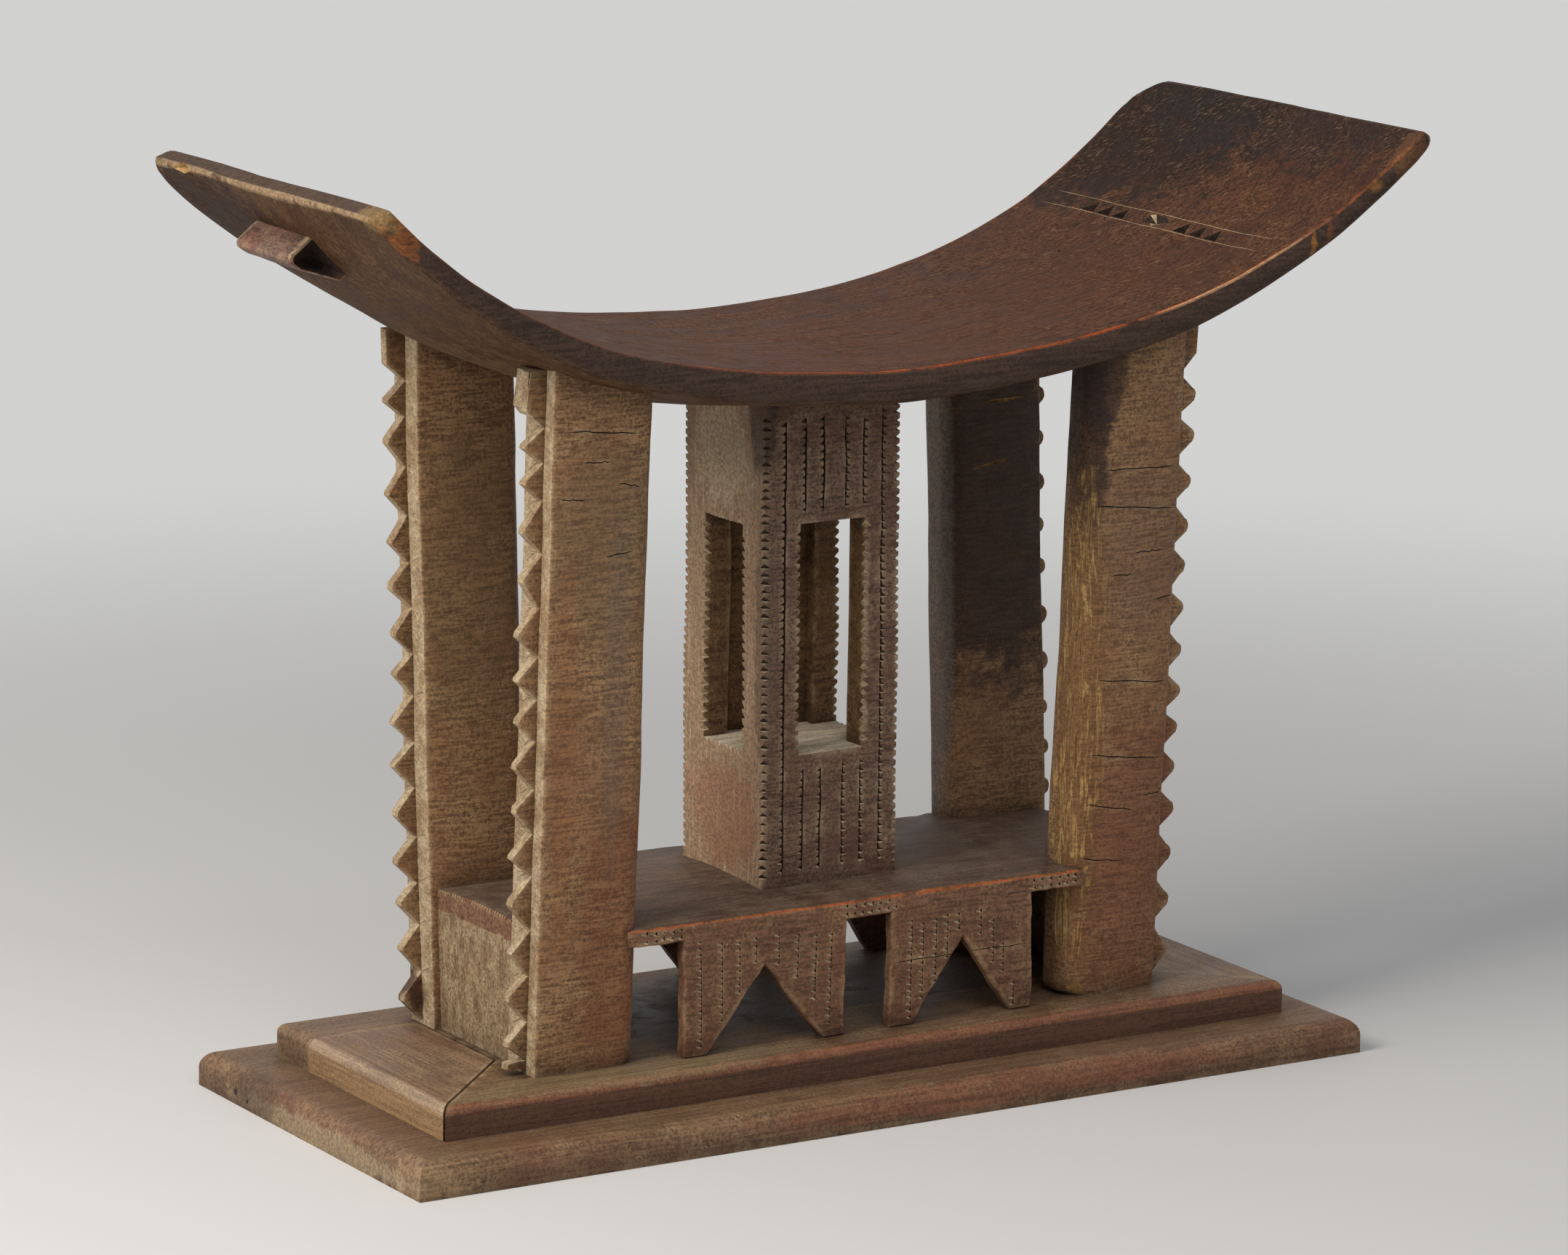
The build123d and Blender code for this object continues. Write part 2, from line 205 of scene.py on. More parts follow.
def timber(name, dark, light, blotched, worn, hollow_colour, stretch, blotches=12.0, shift=0.0, edge_wear=0.7,
           hollow_amount=0.6, roughness=0.55, grain_height=0.3, specular=0.3, specks=0.5, dusting=0.25,
           pores=0.5):
    """A wood finish: dark to light along the grain, blotched, worn along its edges, darker in its hollows.
    """
    dark, light, blotched, worn, hollow_colour = (stain(*c) for c in (dark, light, blotched, worn, hollow_colour))
    material, tree, shader = blank_material(name)
    grain = place(tree, timber_grain, {"Stretch": stretch})
    patina = place(tree, old_patina, {"Scale": blotches, "Shift": (shift, shift, shift)})
    wear = place(tree, edges_and_hollows)
    colour = blend(tree, grain["Tone"], dark, light)
    stained = blend(tree, grain["Tone"], shade(blotched, 0.7), shade(blotched, 1.2))
    colour = blend(tree, times(tree, patina["Blotch"], 0.7), colour, stained)
    colour = blend(tree, times(tree, grain["Pores"], pores), colour, shade(dark, 0.3))
    powder = times(tree, patina["Bloom"], grain["Grit"])
    colour = blend(tree, times(tree, powder, dusting), colour, worn)
    colour = blend(tree, times(tree, patina["Speck"], specks), colour, worn)
    rubbed = times(tree, wear["Edge"], ramp(tree, patina["Bloom"], 0.1, 0.75))
    colour = blend(tree, times(tree, rubbed, edge_wear), colour, worn)
    # the finish darkens towards the hollow colour where other surfaces shut it in
    hollow_darkening = times(tree, wear["Hollow"], hollow_amount)
    colour = blend(tree, hollow_darkening, colour, hollow_colour)
    rough = maths(tree, "MULTIPLY_ADD", patina["Bloom"], 0.18, roughness - 0.09)
    rough = maths(tree, "MULTIPLY_ADD", grain["Fibre"], 0.10, rough)
    rough = maths(tree, "MULTIPLY_ADD", hollow_darkening, 0.25, rough)
    tree.links.new(colour, shader.inputs["Base Color"])
    tree.links.new(rough, shader.inputs["Roughness"])
    height = maths(tree, "MULTIPLY_ADD", grain["Streak"], 0.45, times(tree, grain["Fibre"], 0.4))
    height = maths(tree, "MULTIPLY_ADD", grain["Pores"], -0.8, height)
    height = maths(tree, "MULTIPLY_ADD", grain["Grit"], 0.35, height)
    height = maths(tree, "MULTIPLY_ADD", patina["Bloom"], 0.5, height)
    bump = node(tree, "Bump", {"Height": height, "Distance": 0.0006, "Strength": grain_height})
    tree.links.new(bump.outputs["Normal"], shader.inputs["Normal"])
    shader.inputs["Specular IOR Level"].default_value = specular
    return SimpleNamespace(material=material, tree=tree, shader=shader, grain=grain, patina=patina)


def repaint(wood, mask, colour, amount=1.0):
    """Lays a colour over a finish where the mask is, by the amount; the grain still shows through it."""
    colour = stain(*colour)
    base = wood.shader.inputs["Base Color"]
    below = base.links[0].from_socket
    over = blend(wood.tree, wood.grain["Tone"], shade(colour, 0.66), shade(colour, 1.22))
    wood.tree.links.new(blend(wood.tree, times(wood.tree, mask, amount), below, over), base)


def patches(wood, *rows):
    """Lays ragged patches of colour; a row is the centre, size, colour, amount and raggedness of one."""
    for centre, size, colour, amount, ragged in rows:
        repaint(wood, patch_mask(wood.tree, centre, size, ragged), colour, amount)


def facing(wood):
    """The surface's direction, as X, Y and Z."""
    return node(wood.tree, "SeparateXYZ", {0: node(wood.tree, "NewGeometry").outputs["Normal"]}).outputs


def position(wood):
    return node(wood.tree, "SeparateXYZ", {0: where(wood.tree)}).outputs


def paint(piece, material):
    """Gives a piece of the frame its finish."""
    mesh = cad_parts[piece].data
    mesh.materials.clear()
    mesh.materials.append(material)


board_wood = timber(
    "board_wood", dark=(86, 62, 44), light=(136, 104, 76), blotched=(116, 76, 56),
    worn=(186, 160, 124), hollow_colour=(40, 30, 24), stretch=(14.0, 420.0, 420.0), blotches=9.0,
    edge_wear=0.5, hollow_amount=0.75, roughness=0.5, grain_height=0.5, specks=0.6, dusting=0.35)
up = facing(board_wood)["Z"]
repaint(board_wood, ramp(board_wood.tree, up, 0.75, 0.98), (112, 88, 66), 0.55)
patches(
    board_wood,
    ((-292, -118, 8), (30, 22, 12), (172, 142, 104), 0.45, 1.6),
    ((-299, -20, 6), (9, 120, 8), (176, 154, 122), 0.55, 1.4),
    ((-296, 60, 10), (16, 30, 14), (70, 52, 40), 0.5, 1.2),
    ((-300, 84, 7), (3, 2.4, 2.2), (20, 15, 12), 1.0, 0.3),
    ((-300, 70, 5), (3, 1.6, 1.5), (20, 15, 12), 1.0, 0.3),
    ((60, -128, 12), (190, 14, 9), (128, 78, 56), 0.5, 1.4))
paint("plinth_board", board_wood.material)

# ------------------------------------------------------------------ upper step of the plinth
# Four brown stained rails with a quarter-round on their outer edge, mitred in front, round a core board.
# The left end rail has shrunk: its mitre and its inner edge stand open and dark.
# All are fixed by screws from below.

# the upright face of a rail ends between these two heights, where its quarter-round begins
under_moulding = 0.0345, 0.0330
rail_finish = dict(worn=(184, 156, 118), hollow_colour=(42, 31, 25), edge_wear=0.6, hollow_amount=0.7,
                   roughness=0.5, grain_height=0.45, specks=0.6, dusting=0.4)
long_rail_wood = timber(
    "long_rail_wood", dark=(84, 62, 46), light=(128, 98, 72), blotched=(108, 80, 56),
    stretch=(12.0, 420.0, 420.0), blotches=10.0, shift=3.1, **rail_finish)
tree, at, towards = long_rail_wood.tree, position(long_rail_wood), facing(long_rail_wood)
repaint(long_rail_wood, ramp(tree, towards["Y"], -0.25, -0.5), (128, 76, 56), 0.65)
upright = times(tree, ramp(tree, towards["Y"], -0.9, -0.98), ramp(tree, at["Z"], *under_moulding))
repaint(long_rail_wood, upright, (84, 62, 48), 0.8)
patches(
    long_rail_wood,
    ((-150, -86, 39), (120, 22, 6), (134, 116, 86), 0.5, 1.4),
    ((131, -116, 34), (3, 3, 2.4), (196, 184, 160), 0.8, 1.2))
end_rail_wood = timber(
    "end_rail_wood", dark=(96, 74, 56), light=(146, 118, 92), blotched=(116, 84, 64),
    stretch=(420.0, 12.0, 420.0), blotches=11.0, shift=7.7, **rail_finish)
tree, at, towards = end_rail_wood.tree, position(end_rail_wood), facing(end_rail_wood)
sideways = maths(tree, "ABSOLUTE", towards["X"])
repaint(end_rail_wood, ramp(tree, sideways, 0.2, 0.5), (176, 152, 126), 0.6)
upright = times(tree, ramp(tree, sideways, 0.9, 0.98), ramp(tree, at["Z"], *under_moulding))
repaint(end_rail_wood, upright, (150, 116, 78), 0.75)
core_wood = timber(
    "core_wood", dark=(72, 54, 42), light=(108, 84, 64), blotched=(86, 66, 52),
    stretch=(12.0, 360.0, 360.0), blotches=12.0, shift=5.2, **rail_finish)
for rail, wood in (("front_rail", long_rail_wood), ("back_rail", long_rail_wood),
                   ("left_end_rail", end_rail_wood), ("right_end_rail", end_rail_wood),
                   ("core_board", core_wood)):
    paint(rail, wood.material)

# ------------------------------------------------------------------ wood screws
# Slotted countersunk steel screws, driven up through the plinth into the rails and the stool's feet.
# Their heads show only from below, dull and turned on a lathe.

screw_steel, tree, shader = blank_material("screw_steel")
patina = place(tree, old_patina, {"Scale": 60.0})
wear = place(tree, edges_and_hollows, {"Reach": 0.001, "Depth": 0.004})
colour = blend(tree, patina["Bloom"], stain(120, 116, 112), stain(160, 155, 148))
colour = blend(tree, times(tree, wear["Hollow"], 0.8), colour, stain(74, 52, 38))
rough = maths(tree, "MULTIPLY_ADD", patina["Blotch"], 0.25, 0.3)
tree.links.new(colour, shader.inputs["Base Color"])
tree.links.new(rough, shader.inputs["Roughness"])
shader.inputs["Metallic"].default_value = 1.0
for screws in ("leg_screws", "rail_screws"):
    paint(screws, screw_steel)

# ------------------------------------------------------------------ carved block: four legs
# Square posts left standing in the block, leaning out a little from foot to seat.
# Their inner corners are rounded off, their faces scraped flat by hand, and the grain runs across them.

foot_z = 0.039
leg_outer, leg_inner = 0.200, 0.137
leg_front, leg_depth = 0.0715, 0.032
lean = 0.05416


seat_end, seat_end_z = 0.320, 0.522
saddle_reach, saddle_reach_z, saddle_centre_z = 0.145, 0.42788, 1.082


def long_curve(x, drop, tip_x, tip_z):
    """Height of one of the seat's long curves at x: a shallow arc, then a steeper one out to the tip."""
    x = abs(x)
    reach, radius = saddle_reach, 0.670
    start_z = saddle_reach_z - drop
    if x <= reach:
        return saddle_centre_z - drop - math.sqrt(radius**2 - x**2)
    slope_x, slope_z = reach / radius, math.sqrt(1 - (reach / radius) ** 2)
    run, rise = tip_x - reach, tip_z - start_z
    wing = (run**2 + rise**2) / (2 * (slope_z * rise - slope_x * run))
    return start_z + slope_z * wing - math.sqrt(wing**2 - (x - reach + slope_x * wing) ** 2)


def seat_top(x):
    """Height of the seat's top: past the end of its curve it slopes down to the tip."""
    past_end = max(abs(x) - seat_end, 0)
    return long_curve(min(abs(x), seat_end), 0, seat_end, seat_end_z) - past_end * 4 / 9


def rounded(corners, radii, step):
    """A closed outline through corners, each rounded off, with a point at least every step."""
    outline = []
    for i, corner in enumerate(corners):
        here = Vector(corner)
        back = (Vector(corners[i - 1]) - here).normalized()
        ahead = (Vector(corners[(i + 1) % len(corners)]) - here).normalized()
        half = back.angle(ahead) / 2
        start, end = (here + side * radii[i] / math.tan(half) for side in (back, ahead))
        centre = here + (back + ahead).normalized() * radii[i] / math.sin(half)
        for k in range(6):
            arm = (start - centre).lerp(end - centre, k / 5)
            outline.append(centre + arm.normalized() * radii[i])
    filled = []
    for here, ahead in zip(outline, outline[1:] + outline[:1]):
        count = max(1, math.ceil((ahead - here).length / step))
        filled += [here.lerp(ahead, k / count) for k in range(count)]
    return filled


def tube(rings):
    """Closed shell through rings of as many points each, with a flat face at both ends."""
    count = len(rings[0])
    points = [p for ring in rings for p in ring]
    faces = [tuple(range(count)), tuple(range(len(points) - count, len(points)))]
    for r in range(len(rings) - 1):
        for k in range(count):
            a, b = r * count + k, r * count + (k + 1) % count
            faces.append((a, b, b + count, a + count))
    return points, faces


def solid(name, shells, *materials):
    """One mesh object of closed shells; a shell may name the material of each face."""
    shape = bmesh.new()
    for points, faces, *paint in shells:
        corners = [shape.verts.new(p) for p in points]
        for i, face in enumerate(faces):
            made = shape.faces.new([corners[k] for k in face])
            made.material_index = paint[0][i] if paint else 0
    bmesh.ops.recalc_face_normals(shape, faces=shape.faces)
    mesh = bpy.data.meshes.new(name)
    shape.to_mesh(mesh)
    shape.free()
    for material in materials:
        mesh.materials.append(material)
    made = bpy.data.objects.new(name, mesh)
    bpy.context.scene.collection.objects.link(made)
    return made


def leg_face(z):
    """How far out a leg's face stands at a height: the legs lean outwards as they rise."""
    return leg_front + lean * (z - foot_z)


def front_setback(x, bulge):
    """How far a leg's face lies back from its middle line, at x."""
    across = (abs(x) - (leg_outer + leg_inner) / 2) / ((leg_outer - leg_inner) / 2)
    return bulge * across**2


def leg(side, face, bulge, outer_round, inner_round, foot_round=0.003):
    """side is -1 left or 1 right, face is -1 front or 1 back."""
    section = rounded(
        [(leg_outer, 0), (leg_inner, 0), (leg_inner, leg_depth), (leg_outer, leg_depth)],
        [outer_round, inner_round, 0.010, 0.0015], 0.0045)
    rings = []
    levels = 150
    for level in range(levels + 1):
        ring = []
        for x, depth in section:
            z = foot_z + (seat_top(x) - 0.012 - foot_z) * level / levels
            low_by = min(max(foot_round + foot_z - z, 0), foot_round)
            worn_off = foot_round - math.sqrt(foot_round**2 - low_by**2)
            x += worn_off * (leg_outer - x) / (leg_outer - leg_inner)
            sunk = depth + front_setback(x, bulge) * (1 - 2 * depth / leg_depth)
            ring.append((side * x, face * (leg_face(z) - sunk), z))
        rings.append(ring)
    return tube(rings)


leg_wood = timber(
    "leg_wood", dark=(94, 67, 46), light=(176, 137, 96), blotched=(134, 94, 64),
    worn=(190, 164, 126), hollow_colour=(46, 33, 26), stretch=(62.0, 420.0, 760.0), blotches=17.0,
    shift=1.3, edge_wear=0.6, hollow_amount=0.7, roughness=0.56, grain_height=0.5, specks=0.5, dusting=0.22,
    pores=0.3)
tree, at, towards = leg_wood.tree, position(leg_wood), facing(leg_wood)
patches(
    leg_wood,
    ((-150, -76, 110), (34, 14, 90), (122, 74, 50), 0.6, 1.4),
    ((-165, -84, 330), (40, 14, 70), (112, 92, 66), 0.5, 1.4),
    ((180, -72, 120), (56, 14, 110), (116, 70, 50), 0.6, 1.4),
    ((170, -84, 300), (56, 14, 60), (116, 86, 68), 0.5, 1.2),
    ((146, -72, 44), (6, 8, 5), (150, 116, 64), 0.6, 1.6),
    # the next two dark patches, high on the inner corner of the right front leg, are painted shadow of the
    # seat and column
    ((138, -84, 360), (14, 26, 80), (48, 34, 30), 0.85, 1.4),
    ((146, -88, 400), (15, 26, 46), (54, 38, 32), 0.8, 1.4),
    ((-170, 60, 280), (40, 20, 120), (104, 84, 58), 0.5, 1.4),
    # a dark patch on the face of the right back leg is painted shade
    ((168, 54, 300), (60, 14, 150), (50, 35, 30), 0.85, 1.0),
    ((136, 70, 270), (7, 34, 210), (116, 106, 98), 0.75, 0.7),
    ((-158, -84, 250), (9, 14, 120), (118, 98, 80), 0.5, 1.6),
    ((-188, -80, 220), (9, 14, 140), (138, 92, 60), 0.5, 1.6))
# the inner corner of the right front leg is rubbed down to yellow fibres
gold = patch_mask(tree, (139, -76, 190), (20, 22, 165), 1.0)
repaint(leg_wood, gold, (124, 88, 52), 0.65)
stringy = where(tree)
stringy = vectors(tree, "MULTIPLY", stringy, (360.0, 360.0, 38.0))
stringy = ramp(tree, cloud(tree, stringy, 1.0, 5.0, distortion=1.3), 0.50, 0.66)
repaint(leg_wood, times(tree, gold, stringy), (198, 162, 98), 0.75)
# the outer sides and the teeth stay pale and dusty, because nobody's hand or foot polishes them
outside = ramp(tree, maths(tree, "ABSOLUTE", at["X"]), 0.1970, 0.1988)
sideways = ramp(tree, maths(tree, "ABSOLUTE", towards["Y"]), 0.75, 0.45)
pale = times(tree, outside, sideways)
repaint(leg_wood, pale, (158, 132, 100), 0.85)
repaint(leg_wood, times(tree, pale, leg_wood.patina["Bloom"]), (206, 188, 156), 0.65)
patches(leg_wood, ((-203, 66, 56), (12, 16, 16), (70, 44, 32), 0.9, 1.0))

legs = solid("legs", [
    leg(-1, -1, 0.0008, 0.0018, 0.010),
    leg(1, -1, 0.0036, 0.004, 0.012, 0.006),
    leg(-1, 1, 0.0025, 0.002, 0.010),
    leg(1, 1, 0.0020, 0.002, 0.010),
], leg_wood.material)

# ------------------------------------------------------------------ carved block: rows of teeth
# A ridge down the outer side of each leg is cut into saw-like teeth with a knife, two cuts to a tooth.
# They are uneven: closer together near the seat, and blunt or broken at their tips.

tooth_setback, tooth_thickness = 0.010, 0.0065
tooth_root, tooth_reach = 0.0006, 0.0125
ridge_inner, ridge_top_z = leg_outer - 0.003, 0.4225


def tooth_row(side, face, valleys, seed):
    """The ridge of one leg as one shell, with its valleys at these heights in millimetres."""
    chance = random.Random(seed)
    outline = [(ridge_inner, ridge_top_z), (leg_outer + tooth_reach - 0.001, ridge_top_z)]
    for high, low in zip([416] + valleys, valleys + [foot_z * 1000 + 3]):
        drop = (high - low) / 1000
        middle = (high + low) / 2000 + chance.uniform(-0.06, 0.04) * drop
        tip = leg_outer + tooth_reach - chance.uniform(0.0, 0.0016)
        blunt = chance.uniform(0.0009, 0.0021)
        if high > 405:
            outline.append((tip, middle - blunt))
        elif side > 0:
            # the right-hand teeth are rubbed round
            size = 0.21 * drop
            for turn in (65, 38, 12, -14, -40, -66):
                turn = math.radians(turn)
                outline.append((tip - size * (1 - math.cos(turn)), middle + size * math.sin(turn)))
        else:
            outline.append((tip - 0.0004, middle + blunt))
            outline.append((tip, middle - blunt * 0.6))
        outline.append((leg_outer + tooth_root + chance.uniform(-0.0004, 0.0008), low / 1000))
    outline.append((ridge_inner, foot_z + 0.002))
    rings = []
    for inset, depth in ((0.0006, 0), (0, 0.0006), (-0.0003, 0.6 * tooth_thickness),
                         (0, 0.9 * tooth_thickness), (0.0006, tooth_thickness)):
        ring = []
        for x, z in outline:
            x = max(ridge_inner, x - inset)
            sunk = tooth_setback + depth + chance.uniform(-0.0003, 0.0003)
            ring.append((side * x, face * (leg_face(z) - sunk), z))
        rings.append(ring)
    return tube(rings)


valleys = {
    (-1, -1): [392, 373, 353, 325, 295, 269, 246, 223, 197, 173, 149, 119, 94, 69, 47],
    (-1, 1): [394, 374, 347, 320, 294, 269, 244, 221, 195, 170, 143, 118, 95, 69],
    (1, -1): [388, 365, 340, 315, 290, 266, 243, 219, 196, 175, 152, 128, 101, 74],
    (1, 1): [366, 341, 316, 291, 267, 242, 213, 183, 160, 137, 113, 90, 66],
}
teeth = solid("teeth", [tooth_row(side, face, heights, 11 + i)
                        for i, ((side, face), heights) in enumerate(valleys.items())], leg_wood.material)
# the left front ridge ends in an uncut block under the seat
block_rings = []
for z, reach in ((0.3985, 0.2075), (0.4030, 0.2116), (0.4125, 0.2108), (ridge_top_z, 0.2098)):
    y = -leg_face(z)
    near, far = y + 0.0092, y + 0.0245
    block_rings.append([(-0.1965, near, z), (-reach, near, z), (-reach, far, z), (-0.1965, far, z)])
top_block = solid("top_block", [tube(block_rings)], leg_wood.material)

# ------------------------------------------------------------------ carved block: column
# A hollow square tower between shelf and seat, carved out through a window in front and one on each side.
# Its corners, window edges and faces are nicked with rows of small wedge cuts, whose ledges are pale with
# dust and painted light and whose walls are painted dark as shade.

column_half, column_foot, column_head = 0.043, 0.109, 0.396
window_half = 0.0205

column_wood = timber(
    "column_wood", dark=(70, 51, 42), light=(124, 95, 77), blotched=(102, 72, 58),
    worn=(190, 168, 136), hollow_colour=(42, 31, 26), stretch=(60.0, 400.0, 640.0), blotches=15.0,
    shift=9.4, edge_wear=0.45, hollow_amount=0.6, roughness=0.62, grain_height=0.4, dusting=0.25, pores=0.2)
tree, towards = column_wood.tree, facing(column_wood)
sideways = ramp(tree, maths(tree, "ABSOLUTE", towards["X"]), 0.6, 0.9)
repaint(column_wood, sideways, (164, 134, 106), 0.85)
fibrous = where(tree)
fibrous = vectors(tree, "MULTIPLY", fibrous, (500.0, 460.0, 34.0))
fibrous = times(tree, sideways, ramp(tree, cloud(tree, fibrous, 1.0, 5.0), 0.50, 0.72))
repaint(column_wood, fibrous, (196, 172, 140), 0.6)
patches(
    column_wood,
    ((-43, 4, 352), (9, 34, 34), (196, 176, 142), 0.6, 1.6),
    ((-43, -4, 150), (9, 40, 34), (150, 104, 78), 0.6, 1.6),
    # the two dark patches along the front edge of the left face are painted shadow of the left front leg
    ((-43, -38, 378), (9, 14, 36), (60, 44, 38), 0.7, 1.0),
    ((-43, -40, 250), (9, 7, 90), (104, 84, 70), 0.6, 1.4))

column_section = rounded([(-column_half, -column_half), (column_half, -column_half),
                          (column_half, column_half), (-column_half, column_half)], [0.0008] * 4, 0.0045)
column_rings = []
for level in range(73):
    z = column_foot + (column_head - column_foot) * level / 72
    swell = 1 + 0.004 * math.sin(z * 31) + 0.004 * math.sin(z * 17 + 1)
    column_rings.append([(x * swell, y * swell, z) for x, y in column_section])
column = solid("column", [tube(column_rings)], column_wood.material)

# ------------------------------------------------------------------ carved block: shelf and end walls
# A thin crowned shelf ties the four legs together; its band laps onto the legs with two short tabs.
# Below its short ends a wall closes the space between the legs. Its top is dull with old dust.

shelf_top_z, shelf_crown, shelf_bottom_z = 0.119, 0.005, 0.1045
shelf_half_depth, shelf_half_length = 0.07706, 0.146
wall_inner, wall_outer, wall_half = 0.184, 0.196, 0.0555


def skin(first, second):
    """Closed shell of two equal grids of points, joined round their borders."""
    rows, columns = len(first), len(first[0])
    points = [p for grid in (first, second) for row in grid for p in row]
    faces = []
    for r in range(rows - 1):
        for c in range(columns - 1):
            a = r * columns + c
            b = a + rows * columns
            faces.append((a, a + 1, a + columns + 1, a + columns))
            faces.append((b, b + columns, b + columns + 1, b + 1))
    border = [(0, c) for c in range(columns - 1)]
    border += [(r, columns - 1) for r in range(rows - 1)]
    border += [(rows - 1, c) for c in range(columns - 1, 0, -1)]
    border += [(r, 0) for r in range(rows - 1, 0, -1)]
    ring = [r * columns + c for r, c in border]
    for a, b in zip(ring, ring[1:] + ring[:1]):
        faces.append((b, a, a + rows * columns, b + rows * columns))
    return points, faces


def spaced(low, high, count, rim):
    """Steps from low to high, with two finer ones at each end for a rounded rim."""
    inner = [low + rim + (high - low - 2 * rim) * k / count for k in range(count + 1)]
    return [low, low + 0.3 * rim] + inner + [high - 0.3 * rim, high]


def rim_drop(at, low, high, rim):
    """How far a rounded rim lies below the face, at a step between low and high."""
    near = min(at - low, high - at)
    if near >= rim:
        return 0
    return rim - math.sqrt(max(rim**2 - (rim - near) ** 2, 0))


def shelf_board(x0, x1, half_depth, sunk):
    rim = 0.0016
    across = spaced(-half_depth, half_depth, 36, rim)
    top, bottom = [], []
    for x in spaced(x0, x1, max(2, round((x1 - x0) / 0.006)), rim):
        upper, lower = [], []
        for y in across:
            fall = max(rim_drop(x, x0, x1, rim), rim_drop(y, -half_depth, half_depth, rim))
            crown = shelf_crown * (y / shelf_half_depth) ** 2
            upper.append((x, y, shelf_top_z - crown - fall - sunk))
            lower.append((x, y, shelf_bottom_z + fall * 0.6 + sunk))
        top.append(upper)
        bottom.append(lower)
    return skin(top, bottom)


shelf_wood = timber(
    "shelf_wood", dark=(78, 55, 41), light=(128, 92, 70), blotched=(112, 76, 57),
    worn=(190, 160, 120), hollow_colour=(48, 36, 30), stretch=(40.0, 340.0, 560.0), blotches=16.0,
    shift=4.6, edge_wear=0.45, hollow_amount=0.6, roughness=0.62, grain_height=0.2, dusting=0.18, pores=0.1)
tree, at, towards = shelf_wood.tree, position(shelf_wood), facing(shelf_wood)
level_top = ramp(tree, towards["Z"], 0.7, 0.95)
repaint(shelf_wood, level_top, (76, 60, 50), 0.75)
repaint(shelf_wood, times(tree, level_top, shelf_wood.patina["Bloom"]), (132, 116, 98), 0.35)
# bare orange wood shines along the upper edge of the band
out = maths(tree, "ABSOLUTE", at["Y"])
arris = ramp(tree, out, shelf_half_depth - 0.0020, shelf_half_depth - 0.0009)
arris = times(tree, arris, ramp(tree, at["Z"], 0.1119, 0.1131))
arris = times(tree, arris, ramp(tree, shelf_wood.patina["Bloom"], -0.1, 0.6))
repaint(shelf_wood, arris, (176, 96, 50), 0.9)

wall_wood = timber(
    "wall_wood", dark=(104, 82, 58), light=(156, 129, 97), blotched=(130, 106, 78),
    worn=(206, 186, 152), hollow_colour=(64, 48, 36), stretch=(300.0, 260.0, 60.0), blotches=24.0,
    shift=6.1, edge_wear=0.5, hollow_amount=0.5, roughness=0.75, grain_height=0.6, dusting=0.5)

shelf = solid("shelf", [shelf_board(-shelf_half_length, shelf_half_length, shelf_half_depth, 0)],
              shelf_wood.material)
shelf_ends = solid("shelf_ends", [shelf_board(0.140, wall_outer, wall_half, 0.0001),
                                  shelf_board(-wall_outer, -0.140, wall_half, 0.0001)],
                   shelf_wood.material)


def end_wall(side):
    rings = []
    for level in range(16):
        z = foot_z + 0.068 * level / 15
        section = rounded([(wall_inner, -wall_half), (wall_outer, -wall_half), (wall_outer, wall_half),
                           (wall_inner, wall_half)], [0.001] * 4, 0.005)
        rings.append([(side * x, y, z) for x, y in section])
    return tube(rings)


end_walls = solid("end_walls", [end_wall(-1), end_wall(1)], wall_wood.material)

# ------------------------------------------------------------------ carved block: aprons
# Thin panels hang under the shelf's two long edges, a pair on each side of the stool.
# Each has a tall V cut out of it, and its face is filled with upright rows of short punched marks.

apron_front, apron_back = 0.0770, 0.0701
panels = ((-0.1115, -0.0090), (0.0200, 0.1115))
apron_toe, apron_notch, apron_top_z = 0.014, 0.046, 0.107


def outline_inset(outline, distance):
    """The outline moved inwards by a distance."""
    moved = []
    for i, here in enumerate(outline):
        back, ahead = outline[i - 1], outline[(i + 1) % len(outline)]
        first = (here - back).normalized()
        second = (ahead - here).normalized()
        inward = Vector((-(first.y + second.y), first.x + second.x))
        spread = max(0.4, (1 + first.dot(second)) / 2)
        moved.append(here + inward.normalized() * distance / math.sqrt(spread))
    return moved


def apron(left, right, face, seed):
    """One panel as a shell: its outline runs round the toes and up into the V."""
    chance = random.Random(seed)
    apex = ((left + right) / 2, foot_z + apron_notch)
    corners = [(left, foot_z), (left + apron_toe, foot_z), apex, (right - apron_toe, foot_z),
               (right, foot_z), (right, apron_top_z), (left, apron_top_z)]
    outline = []
    for here, ahead in zip(corners, corners[1:] + corners[:1]):
        count = max(1, round(math.dist(here, ahead) / 0.006))
        for k in range(count):
            stray = 0.0005 if 0 < k < count else 0
            p = Vector(here).lerp(Vector(ahead), k / count)
            if foot_z < p.y < 0.1:
                p.x += chance.uniform(-stray, stray)
            outline.append(p)
    rings = []
    for inset, y in ((0.0009, apron_front), (0, apron_front - 0.0009), (0, apron_back + 0.0006),
                     (0.0006, apron_back)):
        rings.append([(p.x, face * y, max(p.y, foot_z)) for p in outline_inset(outline, inset)])
    return tube(rings)


aprons = solid("aprons", [apron(left, right, face, 20 + i) for i, (left, right, face) in enumerate(
    (left, right, face) for left, right in panels for face in (-1, 1))], shelf_wood.material)

# ------------------------------------------------------------------ carved block: seat
# A curved saddle, thick in the middle and thin along its edges, with high ends.
# Its top is polished red-brown by sitting, its long edge is rubbed to orange wood, its sides are charred.

seat_tip = 0.329
under_tip_z = 0.516


def seat_half_depth(x, corner):
    """Half the seat's depth at x; its corners are rounded off by a radius."""
    bow = 2.0946
    depth = 0.113 + bow - math.sqrt(bow**2 - x**2)
    into = max(abs(x) - (seat_tip - corner), 0)
    return depth - corner + math.sqrt(max(corner**2 - into**2, 0))


def seat_under(x, y):
    drop = 0.031 - 0.1477 * max(abs(y) - 0.025, 0)
    return long_curve(x, drop, seat_tip, under_tip_z)


